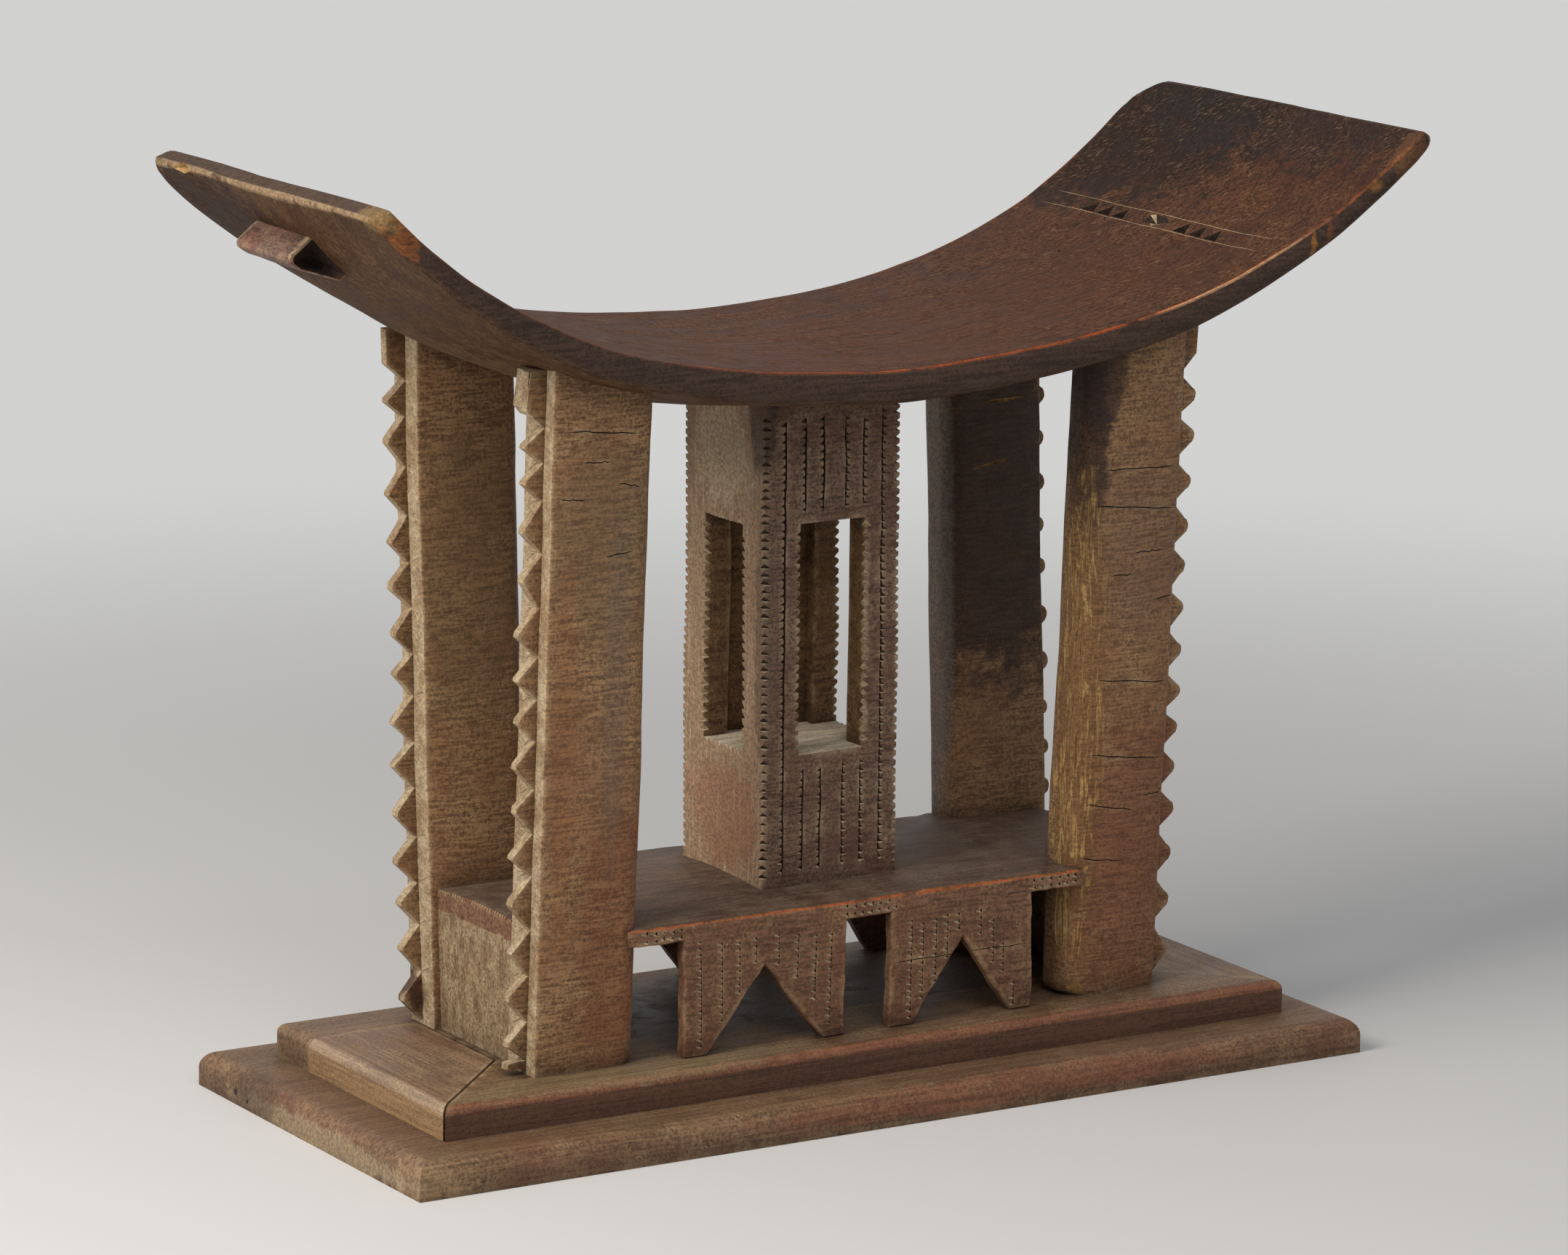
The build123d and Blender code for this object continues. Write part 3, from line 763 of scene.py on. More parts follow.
def corner_wear(x, y, limit):
    """How far the top of a back corner is rubbed down, at most by a limit."""
    past_x, past_y = max(abs(x) - 0.290, 0), max(y - 0.107, 0)
    return min(max(0.8 * (math.hypot(past_x, past_y) - max(past_x, past_y, 0.030)), 0), limit)


def quarter_round(half, z, radius, down):
    """Three steps of y and z from a level face into the seat's side; down is 1 on top and -1 below."""
    turn = [math.radians(a) for a in (30, 60, 90)]
    return [(half - radius + radius * math.sin(a), z - down * radius * (1 - math.cos(a))) for a in turn]


def seat_shell():
    """The seat as two grids of points, closer together towards its ends."""
    steps = 200
    places = [-seat_tip * math.sin(math.pi / 2 * (1 - 2 * k / steps)) for k in range(steps + 1)]
    upper_grid, lower_grid = [], []
    for x in places:
        front, back = seat_half_depth(x, 0.013), seat_half_depth(x, 0.034)
        top = seat_top(x)
        thick = max(top - seat_under(x, front), 0.002)
        crisp, soft = min(0.0022, 0.3 * thick), min(0.007, 0.42 * thick)
        limit = max(0.44 * thick - crisp, 0)
        upper, lower = [], []
        for k in range(45):
            y = -(front - crisp) + (front + back - 2 * crisp) * k / 44
            upper.append((x, y, top - corner_wear(x, y, limit)))
            y = -(front - soft) + (front + back - 2 * soft) * k / 44
            lower.append((x, y, seat_under(x, y)))
        sides = []
        for half, rubbed in ((front, 0), (back, corner_wear(x, back, limit))):
            upper_side = quarter_round(half, top - rubbed, crisp, 1)
            lower_side = quarter_round(half, seat_under(x, half - soft), soft, -1)
            sides.append((upper_side + [(half + 0.0004, top - thick * 0.48)],
                          lower_side + [(half + 0.0003, top - thick * 0.56)]))
        for grid, middle, level in ((upper_grid, upper, 0), (lower_grid, lower, 1)):
            grid.append([(x, -y, z) for y, z in reversed(sides[0][level])] + middle
                        + [(x, y, z) for y, z in sides[1][level]])
    return skin(upper_grid, lower_grid)


seat_wood = timber(
    "seat_wood", dark=(45, 29, 23), light=(101, 67, 49), blotched=(76, 48, 36),
    worn=(170, 124, 86), hollow_colour=(36, 27, 23), stretch=(16.0, 480.0, 480.0), blotches=11.0,
    shift=2.2, edge_wear=0.25, hollow_amount=0.5, roughness=0.55, grain_height=0.5, specular=0.06,
    specks=0.35, dusting=0.15)
tree, at, towards = seat_wood.tree, position(seat_wood), facing(seat_wood)
patches(
    seat_wood,
    ((60, -40, 420), (200, 90, 60), (88, 55, 39), 0.5, 1.4),
    ((300, 90, 490), (90, 110, 80), (40, 33, 30), 0.8, 1.8),
    ((325, -20, 516), (52, 170, 46), (46, 41, 40), 0.7, 1.8),
    ((-250, 0, 470), (60, 150, 60), (70, 52, 43), 0.4, 1.0))
# under the seat the wood is browner and scraped, its sides are charred
below = ramp(tree, towards["Z"], -0.1, -0.4)
repaint(seat_wood, below, (86, 62, 45), 0.8)
repaint(seat_wood, times(tree, below, seat_wood.patina["Bloom"]), (118, 92, 68), 0.4)
scraped = patch_mask(tree, (-170, 20, 412), (90, 120, 36), 1.6)
repaint(seat_wood, times(tree, below, scraped), (132, 102, 74), 0.5)
patches(
    seat_wood,
    ((-305, 80, 480), (44, 90, 60), (56, 45, 41), 0.75, 1.8))
# the long edge is rubbed bare: reddish all along and orange over the middle, with a pale painted highlight
# where it shines most
edge_y = maths(tree, "MULTIPLY_ADD", times(tree, at["X"], at["X"]), 0.24, 0.113)
rim = maths(tree, "SUBTRACT", edge_y, maths(tree, "ABSOLUTE", at["Y"]))
arris = times(tree, ramp(tree, rim, 0.0032, 0.0014), ramp(tree, towards["Z"], 0.25, 0.6))
arris = times(tree, arris, ramp(tree, seat_wood.patina["Bloom"], -0.1, 0.6))
repaint(seat_wood, arris, (136, 78, 54), 0.8)
rubbed = ramp(tree, maths(tree, "ABSOLUTE", maths(tree, "SUBTRACT", at["X"], 0.06)), 0.22, 0.09)
repaint(seat_wood, times(tree, arris, rubbed), (186, 86, 36), 0.95)
# painted highlight along the rubbed edge on the right half
edge_painted_highlight = ramp(tree, maths(tree, "ABSOLUTE", maths(tree, "SUBTRACT", at["X"], 0.205)), 0.060, 0.030)
edge_painted_highlight = times(tree, edge_painted_highlight, ramp(tree, rim, 0.0019, 0.0011))
repaint(seat_wood, times(tree, edge_painted_highlight, ramp(tree, towards["Z"], 0.25, 0.6)), (218, 172, 128), 0.8)
# short pale flecks left by the scraper, slanting across the top and the underside
fleck = node(tree, "VectorRotate", {0: where(tree), 3: 0.9},
             rotation_type="Z_AXIS").outputs[0]
fleck = vectors(tree, "MULTIPLY", fleck, (190.0, 1100.0, 360.0))
fleck = ramp(tree, cloud(tree, fleck, 1.0, 3.0), 0.54, 0.68)
fleck = times(tree, fleck, ramp(tree, seat_wood.patina["Bloom"], 0.0, 0.8))
repaint(seat_wood, fleck, (142, 114, 92), 0.55)
side_face = ramp(tree, maths(tree, "ABSOLUTE", towards["Y"]), 0.5, 0.8)
repaint(seat_wood, side_face, (77, 64, 57), 0.92)
# the two end faces are grey with dust and pale along their lower edge
out = maths(tree, "ABSOLUTE", at["X"])
ends = times(tree, ramp(tree, out, 0.3188, 0.3200), ramp(tree, towards["Z"], 0.1, 0.3))
repaint(seat_wood, ends, (84, 70, 60), 0.85)
low_edge = times(tree, ramp(tree, out, 0.3272, 0.3284), ramp(tree, seat_wood.patina["Bloom"], -0.2, 0.5))
repaint(seat_wood, low_edge, (172, 146, 114), 0.75)
patches(
    seat_wood,
    ((314, -134, 507), (17, 8, 24), (132, 92, 60), 0.4, 3.0),
    # a small pale patch at the right front tip is a painted highlight
    ((326, -130, 518), (8, 8, 5), (178, 142, 108), 0.6, 2.0),
    ((291, -134, 494), (7, 4, 4), (150, 108, 60), 0.45, 2.4),
    ((-321, -130, 517), (14, 15, 9), (156, 126, 84), 0.55, 2.1),
    ((-312, -134, 506), (15, 4, 13), (172, 104, 56), 0.5, 2.4),
    ((254, -132, 462), (2.6, 7, 12), (160, 112, 62), 0.75, 2.4),
    ((264, -132, 469), (2.2, 7, 9), (138, 86, 54), 0.5, 2.4))

seat = solid("seat", [seat_shell()], seat_wood.material)

# ------------------------------------------------------------------ carved block: lugs
# A short block left under each high end of the seat, square to its underside.
# It is a grip for carrying: its nose is rubbed round and reddish, its ends are hollowed.

lug_half_length, lug_height, lug_run = 0.032, 0.018, 0.0315
lug_root, lug_along = Vector((0.3113, 0.4942)), Vector((0.6286, 0.7777))


def lug_section():
    """A lug's profile in x and z: square at its root, full at its nose, thin at its tail."""
    out = Vector((lug_along.y, -lug_along.x))
    tail = lug_root - lug_along * lug_run
    return rounded([lug_root - out * 0.004, lug_root + out * lug_height,
                    lug_root + out * (lug_height - 0.0025) - lug_along * 0.009, tail + out * 0.0005,
                    tail - out * 0.004], [0.0005, 0.0035, 0.006, 0.002, 0.0005], 0.004)


def lug_ring(side, y, size):
    section = lug_section()
    middle = sum(section, Vector((0, 0))) / len(section)
    return [(side * (middle.x + (p.x - middle.x) * size), y, middle.y + (p.y - middle.y) * size)
            for p in section]


def lug(side):
    """A wedge under one end of the seat, as rings from its back end to its front end."""
    steps = 24
    rings = []
    for k in range(steps + 1):
        along = 1 - 2 * k / steps
        rings.append(lug_ring(side, along * lug_half_length, 1 - 0.05 * max(0, abs(along) - 0.86) / 0.14))
    return tube(rings)


def scoop(side, end):
    """The hollow cut into one end of a lug."""
    return tube([lug_ring(side, end * (lug_half_length - into / 1000), size)
                 for into, size in ((-0.6, 0.87), (0.6, 0.85), (4, 0.66), (8, 0.38), (11, 0.12))])


lug_wood = timber(
    "lug_wood", dark=(70, 54, 48), light=(116, 92, 80), blotched=(116, 70, 58),
    worn=(190, 162, 126), hollow_colour=(42, 30, 25), stretch=(60.0, 30.0, 240.0), blotches=22.0,
    shift=8.8, edge_wear=0.6, hollow_amount=0.6, roughness=0.5, grain_height=0.4, specks=0.5)
lugs = solid("lugs", [lug(-1), lug(1)], lug_wood.material)

# ------------------------------------------------------------------ the block as one piece
# Seat, legs, column, shelf, walls, aprons and lugs are one piece of wood, so they are joined into one mesh.
# The hollow of the column and its windows are cut out of it.


def work(block, tool, operation):
    """Joins a tool to the block or cuts it away; the cut keeps the tool's finish."""
    change = block.modifiers.new("work", "BOOLEAN")
    change.solver = "MANIFOLD"
    change.operation = operation
    change.object = tool
    change.material_mode = "TRANSFER"
    graph = bpy.context.evaluated_depsgraph_get()
    made = bpy.data.meshes.new_from_object(block.evaluated_get(graph))
    block.modifiers.clear()
    block.data = made
    bpy.data.objects.remove(tool)


def cut(name, shells, *materials):
    """Cuts shells out of the block; each cut keeps its own finish."""
    work(block, solid(name, shells, *materials), "DIFFERENCE")


def merge(*pieces):
    """Several objects that don't touch, as one."""
    first = pieces[0]
    with bpy.context.temp_override(active_object=first, selected_editable_objects=list(pieces)):
        bpy.ops.object.join()
    return first


block = merge(legs, column)
block.name = "stool_block"
work(block, merge(teeth, shelf), "UNION")
work(block, merge(shelf_ends, aprons), "UNION")
work(block, merge(end_walls, lugs, top_block), "UNION")
work(block, seat, "UNION")


def brick(low, high, step):
    """A closed box with its faces divided, as rings going up."""
    section = rounded([low[:2], (high[0], low[1]), high[:2], (low[0], high[1])], [0.0004] * 4, step)
    count = max(1, round((high[2] - low[2]) / step))
    return tube([[(x, y, low[2] + (high[2] - low[2]) * k / count) for x, y in section]
                 for k in range(count + 1)])


inner_wood = timber(
    "inner_wood", dark=(70, 48, 34), light=(124, 92, 62), blotched=(112, 84, 52),
    worn=(170, 142, 108), hollow_colour=(28, 22, 18), stretch=(30.0, 200.0, 240.0), blotches=20.0,
    shift=0.7, edge_wear=0.6, hollow_amount=0.7, roughness=0.75, grain_height=0.5)
# the upward faces inside the column are painted near-white: painted light falling in through the windows
inside_floor_painted_light = ramp(inner_wood.tree, facing(inner_wood)["Z"], 0.6, 0.9)
repaint(inner_wood, inside_floor_painted_light, (216, 200, 172), 0.9)
hollow_half, sill_z, front_window_z, side_window_z = 0.027, 0.190, 0.318, 0.316
beyond = 0.06
for name, low, high in (
    ("hollow", (-hollow_half, -hollow_half, sill_z), (hollow_half, hollow_half, front_window_z)),
    ("front_window", (-window_half, -beyond, sill_z), (window_half, 0, front_window_z)),
    ("side_windows", (-beyond, -window_half, sill_z), (beyond, window_half, side_window_z)),
):
    cut(name, [brick(low, high, 0.006)], inner_wood.material)

# dark brown for the walls of knife cuts, grooves, cracks and scooped hollows: painted shade
groove_painted_shade = timber(
    "groove_painted_shade", dark=(48, 36, 30), light=(80, 60, 48), blotched=(62, 46, 38),
    worn=(120, 94, 70), hollow_colour=(24, 18, 15), stretch=(40.0, 200.0, 200.0), blotches=30.0,
    edge_wear=0.2, hollow_amount=0.6, roughness=0.8)

# the ends of the lugs are scooped out, and the scoops are painted dark as shade
cut("scoops", [scoop(side, end) for side in (-1, 1) for end in (-1, 1)], groove_painted_shade.material)

# ------------------------------------------------------------------ knife work on the block
# Rows of small wedge cuts, incised lines and punched marks, made with a knife and a narrow chisel.
# Each cut has a flat lower ledge, pale with dust and painted light, and steep walls painted dark as shade.

# pale for the ledges of cuts and the walls that face the lamps: pale dust, and painted light as well
ledge_dust_and_light = timber(
    "ledge_dust_and_light", dark=(150, 126, 98), light=(204, 182, 148), blotched=(176, 150, 118),
    worn=(222, 206, 176), hollow_colour=(110, 88, 66), stretch=(60.0, 200.0, 200.0), blotches=40.0,
    edge_wear=0.3, hollow_amount=0.15, roughness=0.85)

# cutters start a little outside the wood: grooves by the lift, notches by how proud they stand
lift, proud = 0.0006, 0.0005


def notch(corner, along, aside, up, width, height, deep=None, slope=0.06, paint=(0, 1, 1, 1)):
    """A wedge cut at a corner: a sloping ledge at the bottom, and two walls that meet at the top.

    Paint says which of its ledge, outer face, slanting wall and corner wall are pale with dust and painted
    light (0) or painted dark as shade (1).
    """
    deep = width if deep is None else deep
    corner = corner - (along + aside) * proud
    points = [corner + up * height, corner, corner + along * (width + proud) + up * height * slope,
              corner + aside * (deep + proud) + up * height * slope]
    return points, [(1, 3, 2), (0, 1, 2), (0, 2, 3), (0, 3, 1)], paint


def groove(path, out, aside, width, depth):
    """A V-shaped cut along a path, pointed at both ends."""
    rings = []
    for i, p in enumerate(path):
        size = 0.25 if i in (0, len(path) - 1) else 1
        rings.append([p + aside * width * size / 2 + out * lift,
                      p - out * depth * size, p - aside * width * size / 2 + out * lift])
    return tube(rings)


X, Y, Z = Vector((1, 0, 0)), Vector((0, 1, 0)), Vector((0, 0, 1))
chance = random.Random(5)
corner_cuts, lines, wedges = [], [], []


def stray(most):
    """A small step by chance, either way."""
    return chance.uniform(-most, most)


def saw_edge(start, end, along, aside, pitch, width, height, walls=1):
    """A row of notches up an edge from start to end; their walls are pale with dust and painted light (0) or
    painted dark as shade (1).
    """
    span = (end - start).length
    up = (end - start).normalized()
    at = pitch * 0.4
    while at < span - height:
        step = pitch * chance.uniform(0.9, 1.1)
        size = chance.uniform(0.85, 1.1)
        corner_cuts.append(notch(start + up * at, along, aside, up, width * size, height * size,
                                 slope=0.14, paint=(0, walls, walls, walls)))
        at += step


# the four corners of the column
for sx in (-1, 1):
    for sy in (-1, 1):
        corner = Vector((sx * column_half, sy * column_half, 0))
        saw_edge(corner + Z * 0.121, corner + Z * 0.384, -sx * X, -sy * Y, 0.0048, 0.0045, 0.0042)

# the upright edges of the front window, then all the edges of the side windows
window_saw = dict(pitch=0.0052, width=0.0042, height=0.0046, walls=0)
for side in (-1, 1):
    corner = Vector((side * window_half, -column_half, 0))
    saw_edge(corner + Z * (sill_z + 0.001), corner + Z * (front_window_z - 0.001), side * X, Y, **window_saw)
    for face in (-1, 1):
        corner = Vector((face * column_half, side * window_half, 0))
        saw_edge(corner + Z * (sill_z + 0.001), corner + Z * (side_window_z - 0.001), side * Y, -face * X,
                 **window_saw)
for face in (-1, 1):
    for z, up in ((sill_z, -Z), (side_window_z, Z)):
        corner = Vector((face * column_half, 0, z))
        saw_edge(corner - Y * 0.019, corner + Y * 0.019, up, -face * X, 0.0040, 0.0042, 0.0034, 0)

# upright rows on the front and back faces: an incised line with wedges leaning on it
for face in (-1, 1):
    for at, lean_to in ((-30.0, 1), (-17.5, 1), (-6.0, 1), (8.0, -1), (19.5, -1), (31.5, -1)):
        surface = face * column_half
        crosses_window = face < 0 and abs(at) < 22
        spans = ((0.123, 0.186), (0.322, 0.380)) if crosses_window else ((0.123, 0.380),)
        for low, high in spans:
            path = [Vector((at / 1000 + stray(0.0003), surface, z / 1000))
                    for z in range(round(low * 1000), round(high * 1000) + 1, 9)]
            lines.append(groove(path, face * Y, X, 0.0015, 0.0022))
            z = low + 0.002
            while z < high - 0.005:
                size = 0.0042 * chance.uniform(0.85, 1.12)
                corner = Vector((at / 1000 - lean_to * 0.0002, surface, z))
                wedges.append(notch(corner, -lean_to * X, -face * Y, Z, size, size, 0.0024, 0.30))
                z += 0.0045 * chance.uniform(0.92, 1.08)

cut("corner_cuts", corner_cuts, ledge_dust_and_light.material, groove_painted_shade.material)
cut("lines", lines, groove_painted_shade.material)
cut("wedges", wedges, ledge_dust_and_light.material, groove_painted_shade.material)

# punched marks: two rows on the band over the openings, and upright rows down the panels beside a cut line
marks, panel_lines = [], []


def mark(x, z, face, size):
    """One tick of the chisel, left of its line: a ledge and slope pale with dust and painted light, and a
    wall at the line painted dark as shade.
    """
    corner = Vector((x, face * shelf_half_depth, z))
    marks.append(notch(corner, -X, -face * Y, Z, 0.0043 * size, 0.0034 * size, 0.0017, 0.50, (0, 1, 0, 1)))


# where the rows stand across a panel, from 0 at its left edge to 1, and their top and bottom (mm)
left_panel_rows = ((0.10, 106, 43), (0.23, 104, 56), (0.34, 103, 70), (0.44, 102, 86), (0.58, 103, 83),
                   (0.70, 103, 74), (0.81, 102, 61), (0.905, 101, 46))
right_panel_rows = ((0.14, 100, 42), (0.22, 98, 52), (0.31, 99, 60), (0.39, 99, 73), (0.47, 100, 88),
                    (0.63, 99, 84), (0.72, 94, 67), (0.79, 80, 61), (0.87, 55, 41))
for face in (-1, 1):
    for low, high in ((-0.134, -0.110), (-0.009, 0.023), (0.113, 0.144)):
        for row_z in (0.1055, 0.1095):
            x = low
            while x < high:
                mark(x, row_z + stray(0.0003), face, chance.uniform(0.9, 1.2))
                x += 0.0053 * chance.uniform(0.9, 1.1)
    for (left, right), rows in zip(panels, (left_panel_rows, right_panel_rows)):
        for across, top, bottom in rows:
            x = left + (right - left) * across
            heights = [bottom / 1000 + k * (top - bottom) / 6000 for k in range(7)]
            path = [Vector((x + stray(0.0003), face * shelf_half_depth, z)) for z in heights]
            panel_lines.append(groove(path, face * Y, X, 0.0006, 0.0007))
            z = bottom / 1000
            while z < top / 1000 - 0.002:
                mark(x - 0.0001, z, face, chance.uniform(0.8, 1.15))
                z += 0.0039 * chance.uniform(0.9, 1.1)
cut("panel_lines", panel_lines, groove_painted_shade.material)
cut("marks", marks, ledge_dust_and_light.material, groove_painted_shade.material)

# drying cracks across the legs, along the grain, each from x and z to x and z in millimetres
cracks = []
for side, bulge, ends in (
    (-1, 0.0008, ((192, 391, 148, 386), (182, 373, 165, 373), (160, 361, 147, 358), (195, 355, 180, 353),
                  (167, 322, 150, 323))),
    (1, 0.0036, ((147, 340, 195, 339), (138, 321, 197, 314), (169, 292, 190, 291), (155, 280, 169, 280),
                 (186, 264, 198, 265), (149, 222, 198, 215), (147, 178, 195, 172), (146, 150, 178, 144),
                 (184, 152, 197, 152), (146, 118, 172, 116))),
):
    for x0, z0, x1, z1 in ends:
        path = []
        for k in range(9):
            x = (x0 + (x1 - x0) * k / 8) / 1000
            z = (z0 + (z1 - z0) * k / 8) / 1000 + stray(0.0005)
            y = leg_face(z) - front_setback(x, bulge)
            path.append(Vector((side * x, -y, z)))
        cracks.append(groove(path, -Y, Z, 0.0009, 0.0015))
cut("cracks", cracks, groove_painted_shade.material)

# a crack right across the right-hand panel
path = [Vector((0.0215 + 0.0885 * k / 12, -shelf_half_depth, 0.0760 + stray(0.0004))) for k in range(13)]
cut("panel_crack", [groove(path, -Y, Z, 0.0006, 0.0030)], groove_painted_shade.material)

# three strokes of the chisel fan out behind every valley of the teeth
strokes = []
for (side, face), heights in valleys.items():
    for height in heights:
        z = height / 1000
        start = Vector((side * leg_outer, face * (leg_face(z) - 0.0168), z))
        for slope in (-0.55, -0.05, 0.45):
            slope += stray(0.12)
            reach = chance.uniform(0.007, 0.0125)
            heading = (-face * Y + Z * slope).normalized()
            path = [start + heading * reach * k / 4 for k in range(5)]
            strokes.append(groove(path, side * X, heading.cross(X), 0.0018, 0.0006))
# the strokes of a valley meet, so each of the three is cut in a turn of its own
for i in range(3):
    cut("strokes", strokes[i::3], ledge_dust_and_light.material)

# shallow gouges run down the rubbed inner corner of the right front leg, in lanes round its curve
gouges = []
corner_in, corner_back = 0.012, 0.0150
for lane in range(4):
    z = 0.062 + chance.uniform(0, 0.02)
    while z < 0.29:
        path = []
        for k in range(chance.randint(5, 9)):
            turn = math.radians(26 + 15 * lane + 3 * math.sin(z * 130 + lane))
            out = Vector((-math.sin(turn), -math.cos(turn), 0))
            y = corner_back - leg_face(z)
            path.append(Vector((leg_inner + corner_in, y, z)) + out * 0.0119)
            z += 0.006
        gouges.append(groove(path, out, out.cross(Z), 0.0017, 0.0007))
        z += chance.uniform(0.006, 0.025)
chip_wood = timber(
    "chip_wood", dark=(132, 96, 58), light=(200, 164, 108), blotched=(160, 118, 68),
    worn=(220, 194, 140), hollow_colour=(70, 50, 34), stretch=(300.0, 300.0, 40.0), blotches=40.0,
    edge_wear=0.3, hollow_amount=0.3, roughness=0.75)
cut("gouges", gouges, chip_wood.material)

# old pale scratches on the near face of the right back leg
scratches = []
for (x0, z0), (x1, z1), width in (((162, 354), (189, 355), 2.2), ((152, 317), (178, 321), 1.8)):
    path = [Vector((x0 + (x1 - x0) * k / 6, 0, z0 + (z1 - z0) * k / 6)) / 1000 for k in range(7)]
    path = [p + Y * (leg_face(p.z) - leg_depth + lift) for p in path]
    scratches.append(groove(path, -Y, Z, width / 1000, 0.0008))
cut("scratches", scratches, chip_wood.material)

# a band is scribed across the right wing of the seat, with triangular pits in it, and there is a nail hole
scribed, pits = [], []


def on_seat(x, y):
    """A place on the seat's top, its outward direction and its direction along the curve."""
    rise = (seat_top(x + 0.001) - seat_top(x - 0.001)) / 0.002
    along = Vector((1, 0, rise)).normalized()
    return Vector((x, y, seat_top(x))), Vector((-rise, 0, 1)).normalized(), along


for x in (0.230, 0.241):
    here, out, along = on_seat(x, 0)
    path = [here + Y * (-0.108 + 0.012 * k) + along * stray(0.0002) for k in range(19)]
    scribed.append(groove(path, out, along, 0.0008, 0.0006))
pit_start, pit_end, pit_half_width = 0.2305, 0.2405, 0.0068
# in each pit three walls are painted dark as shade, and the wall facing the lamp is painted pale as light
for y in (0.0600, 0.0450, 0.0300, -0.0310, -0.0460, -0.0610):
    here, out, _ = on_seat(pit_start, y)
    reach = Vector((pit_end - pit_start, 0, seat_top(pit_end) - seat_top(pit_start)))
    points = [here + out * lift - Y * pit_half_width, here + out * lift + Y * pit_half_width,
              here + reach + out * lift, here + reach * 0.4 + Y * 0.0022 - out * 0.0048]
    pits.append((points, [(0, 1, 2), (0, 3, 1), (1, 3, 2), (2, 3, 0)], [1, 1, 1, 0]))
# between the two groups the pits have broken out into one shallow ragged hollow
rim_of_it = []
around = 13
for k in range(around):
    turn = k * 2 * math.pi / around
    x = 0.2358 + 0.0058 * chance.uniform(0.6, 1.1) * math.cos(turn)
    y = -0.002 + 0.0155 * chance.uniform(0.6, 1.05) * math.sin(turn)
    here, out, _ = on_seat(x, y)
    rim_of_it.append(here + out * lift)
here, out, _ = on_seat(0.2350, -0.002)
lid = [(k, (k + 1) % around, around + 1) for k in range(around)]
walls = [(k, around, (k + 1) % around) for k in range(around)]
pits.append((rim_of_it + [here - out * 0.0024, here + out * lift], lid + walls,
             [0] * around + [chance.choice((0, 1, 1, 1)) for wall in walls]))
here, out, along = on_seat(0.193, 0.0316)
turns = [k * math.pi / 5 for k in range(10)]
hole = [[here + out * rise + (along * math.cos(a) + Y * math.sin(a)) * 0.0013 for a in turns]
        for rise in (0.001, -0.001, -0.004)]
# near-black for the walls of the pits: painted shade
pit_painted_shade = timber(
    "pit_painted_shade", dark=(24, 18, 16), light=(44, 33, 28), blotched=(34, 26, 22),
    worn=(110, 88, 66), hollow_colour=(14, 11, 10), stretch=(40.0, 200.0, 200.0), blotches=30.0,
    edge_wear=0.2, hollow_amount=0.6, roughness=0.9)
cut("scribed", scribed, ledge_dust_and_light.material)
cut("pits", pits, ledge_dust_and_light.material, pit_painted_shade.material)
cut("nail_hole", [tube(hole)], groove_painted_shade.material)

# a splinter is broken out of the left end's lower edge
here = Vector((-seat_tip, 0.082, under_tip_z - 0.001))
broken = [here + Y * 0.013 - X * 0.001, here - Y * 0.012 - X * 0.001, here + Z * 0.007 - X * 0.001,
          here - Z * 0.006 - X * 0.001, here + X * 0.006 + Z * 0.0015 + Y * 0.003]
cut("splinter", [(broken, [(0, 2, 4), (2, 1, 4), (1, 3, 4), (3, 0, 4), (0, 3, 1, 2)])], chip_wood.material)

# cord-like nicks run along the top of each end wall
nicks = []
for side in (-1, 1):
    for k in range(28):
        y = -0.038 + 0.076 * k / 27
        corner = Vector((side * wall_outer, y, shelf_top_z - shelf_crown * (y / shelf_half_depth) ** 2))
        nicks.append(notch(corner, -side * X, -Z, (Y + Z * 0.2).normalized(), 0.0026, 0.0018, 0.0040))
cut("nicks", nicks, ledge_dust_and_light.material, groove_painted_shade.material)

# ------------------------------------------------------------------ the block by hand
# Nothing on it is ruler-straight: every face and edge wanders a little, as the adze and knife left it.
# It stands for the carved solid, stays inside its box, and sits flat on the plinth.

low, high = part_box("carved_stool")
noise.seed_set(1)
for point in block.data.vertices:
    at = point.co.copy()
    wander = noise.noise_vector(at * 14) * 0.0010
    wander += noise.noise_vector(at * 47 + Vector((3, 1, 7))) * 0.0003
    if abs(at.x) > 0.113 and abs(at.y) > 0.0725 and 0.103 < at.z < 0.121:
        # the short tabs on the legs are chewed and lumpy
        wander += noise.noise_vector(at * 190) * 0.0011
    settle = min(1, max(0, (at.z - foot_z) / 0.012))
    wander.z *= settle
    point.co = [min(max(c, a), b) for c, a, b in zip(at + wander, low, high)]
block.data.shade_smooth()
block.data.set_sharp_from_angle(angle=math.radians(26))
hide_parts("carved_stool")
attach(block, "root")

# ------------------------------------------------------------------ floor, light and camera
# A plain pale floor that runs back into a pale surround.
# One large soft lamp from the left, a weaker one from the front, and even light from all round.


def add_object(name, data):
    made = bpy.data.objects.new(name, data)
    bpy.context.scene.collection.objects.link(made)
    return made


def seen_directly(tree):
    """1 for what the camera sees, straight or in a reflection, 0 for light that only falls on things."""
    rays = node(tree, "LightPath").outputs
    mirrored = maths(tree, "MAXIMUM", rays["Is Glossy Ray"], rays["Is Transmission Ray"])
    return maths(tree, "MAXIMUM", rays["Is Camera Ray"], mirrored)


floor_mesh = bpy.data.meshes.new("floor")
floor_mesh.from_pydata([(-30, -30, 0), (30, -30, 0), (30, 30, 0), (-30, 30, 0)], [], [(0, 1, 2, 3)])
floor = add_object("floor", floor_mesh)
floor_paint, tree, shader = blank_material("floor_paint")
tint = node(tree, "TexNoise", {"Scale": 3.0, "Detail": 3.0}).outputs["Fac"]
tree.links.new(blend(tree, tint, (0.70, 0.69, 0.67, 1), (0.74, 0.73, 0.71, 1)),
               shader.inputs["Base Color"])
shader.inputs["Roughness"].default_value = 0.9
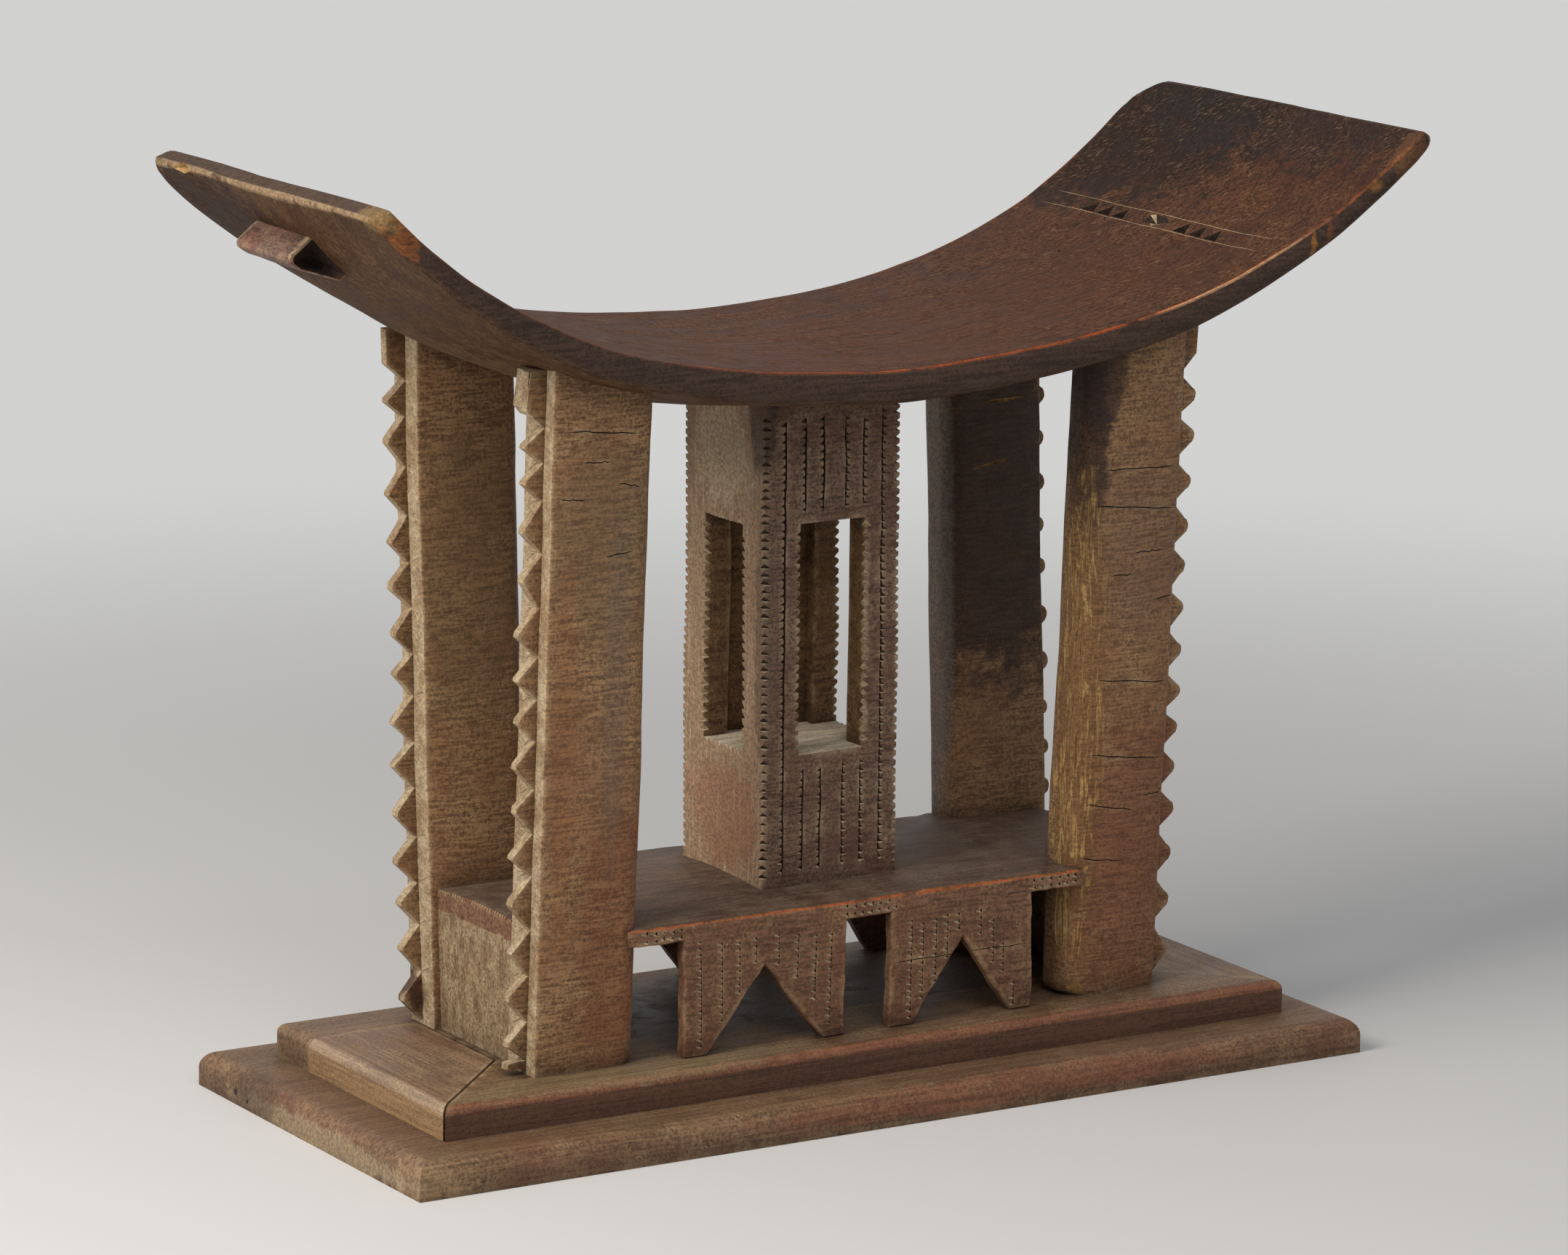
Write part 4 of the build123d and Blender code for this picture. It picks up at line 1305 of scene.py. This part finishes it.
# far from the stool the floor turns into the pale surround
away = node(tree, "VectorMath", {0: node(tree, "NewGeometry").outputs["Position"]}, operation="LENGTH")
far = times(tree, seen_directly(tree), ramp(tree, away.outputs["Value"], 0.6, 1.9))
surround = node(tree, "Emission", {"Color": (0.64, 0.64, 0.635, 1)}).outputs[0]
mixed = node(tree, "MixShader", {0: far, 1: shader.outputs[0], 2: surround})
tree.links.new(mixed.outputs[0], tree.nodes["Material Output"].inputs["Surface"])
floor_mesh.materials.append(floor_paint)

world = bpy.data.worlds.new("studio")
bpy.context.scene.world = world
world.use_nodes = True
tree = world.node_tree
sky = blend(tree, seen_directly(tree), (0.27, 0.275, 0.29, 1), (0.80, 0.80, 0.80, 1))
tree.links.new(sky, tree.nodes["Background"].inputs["Color"])


def outwards(azimuth, elevation):
    """The direction from the stool to a lamp or the camera; azimuth 0 is straight in front of it."""
    a, e = math.radians(azimuth), math.radians(elevation)
    return Vector((math.sin(a) * math.cos(e), -math.cos(a) * math.cos(e), math.sin(e)))


def lamp(name, azimuth, elevation, distance, size, power, colour):
    """A square soft lamp that looks at the middle of the stool."""
    light = bpy.data.lights.new(name, "AREA")
    light.size = size
    light.energy = power
    light.color = colour
    made = add_object(name, light)
    back = outwards(azimuth, elevation)
    made.location = Vector((0, 0, 0.28)) + back * distance
    made.rotation_mode = "QUATERNION"
    made.rotation_quaternion = back.to_track_quat("Z", "Y")


lamp("key", -80, 36, 2.2, 1.0, 40, (1.0, 0.96, 0.90))
lamp("front", -18, 42, 2.6, 1.5, 15, (0.97, 0.98, 1.0))

back, roll = outwards(-31.2343, 11.9527), math.radians(0.5829)
right = Z.cross(back).normalized()
up = back.cross(right)
tilted_right = right * math.cos(roll) + up * math.sin(roll)
tilted_up = up * math.cos(roll) - right * math.sin(roll)
camera = bpy.data.cameras.new("camera")
camera.lens = 156.13
camera.sensor_width = 36
camera.clip_end = 100
view = add_object("camera", camera)
view.matrix_world = Matrix((tilted_right, tilted_up, back)).transposed().to_4x4()
view.location = (-1.8996, -3.1252, 1.0252)
bpy.context.scene.camera = view
bpy.context.scene.view_settings.view_transform = "Standard"
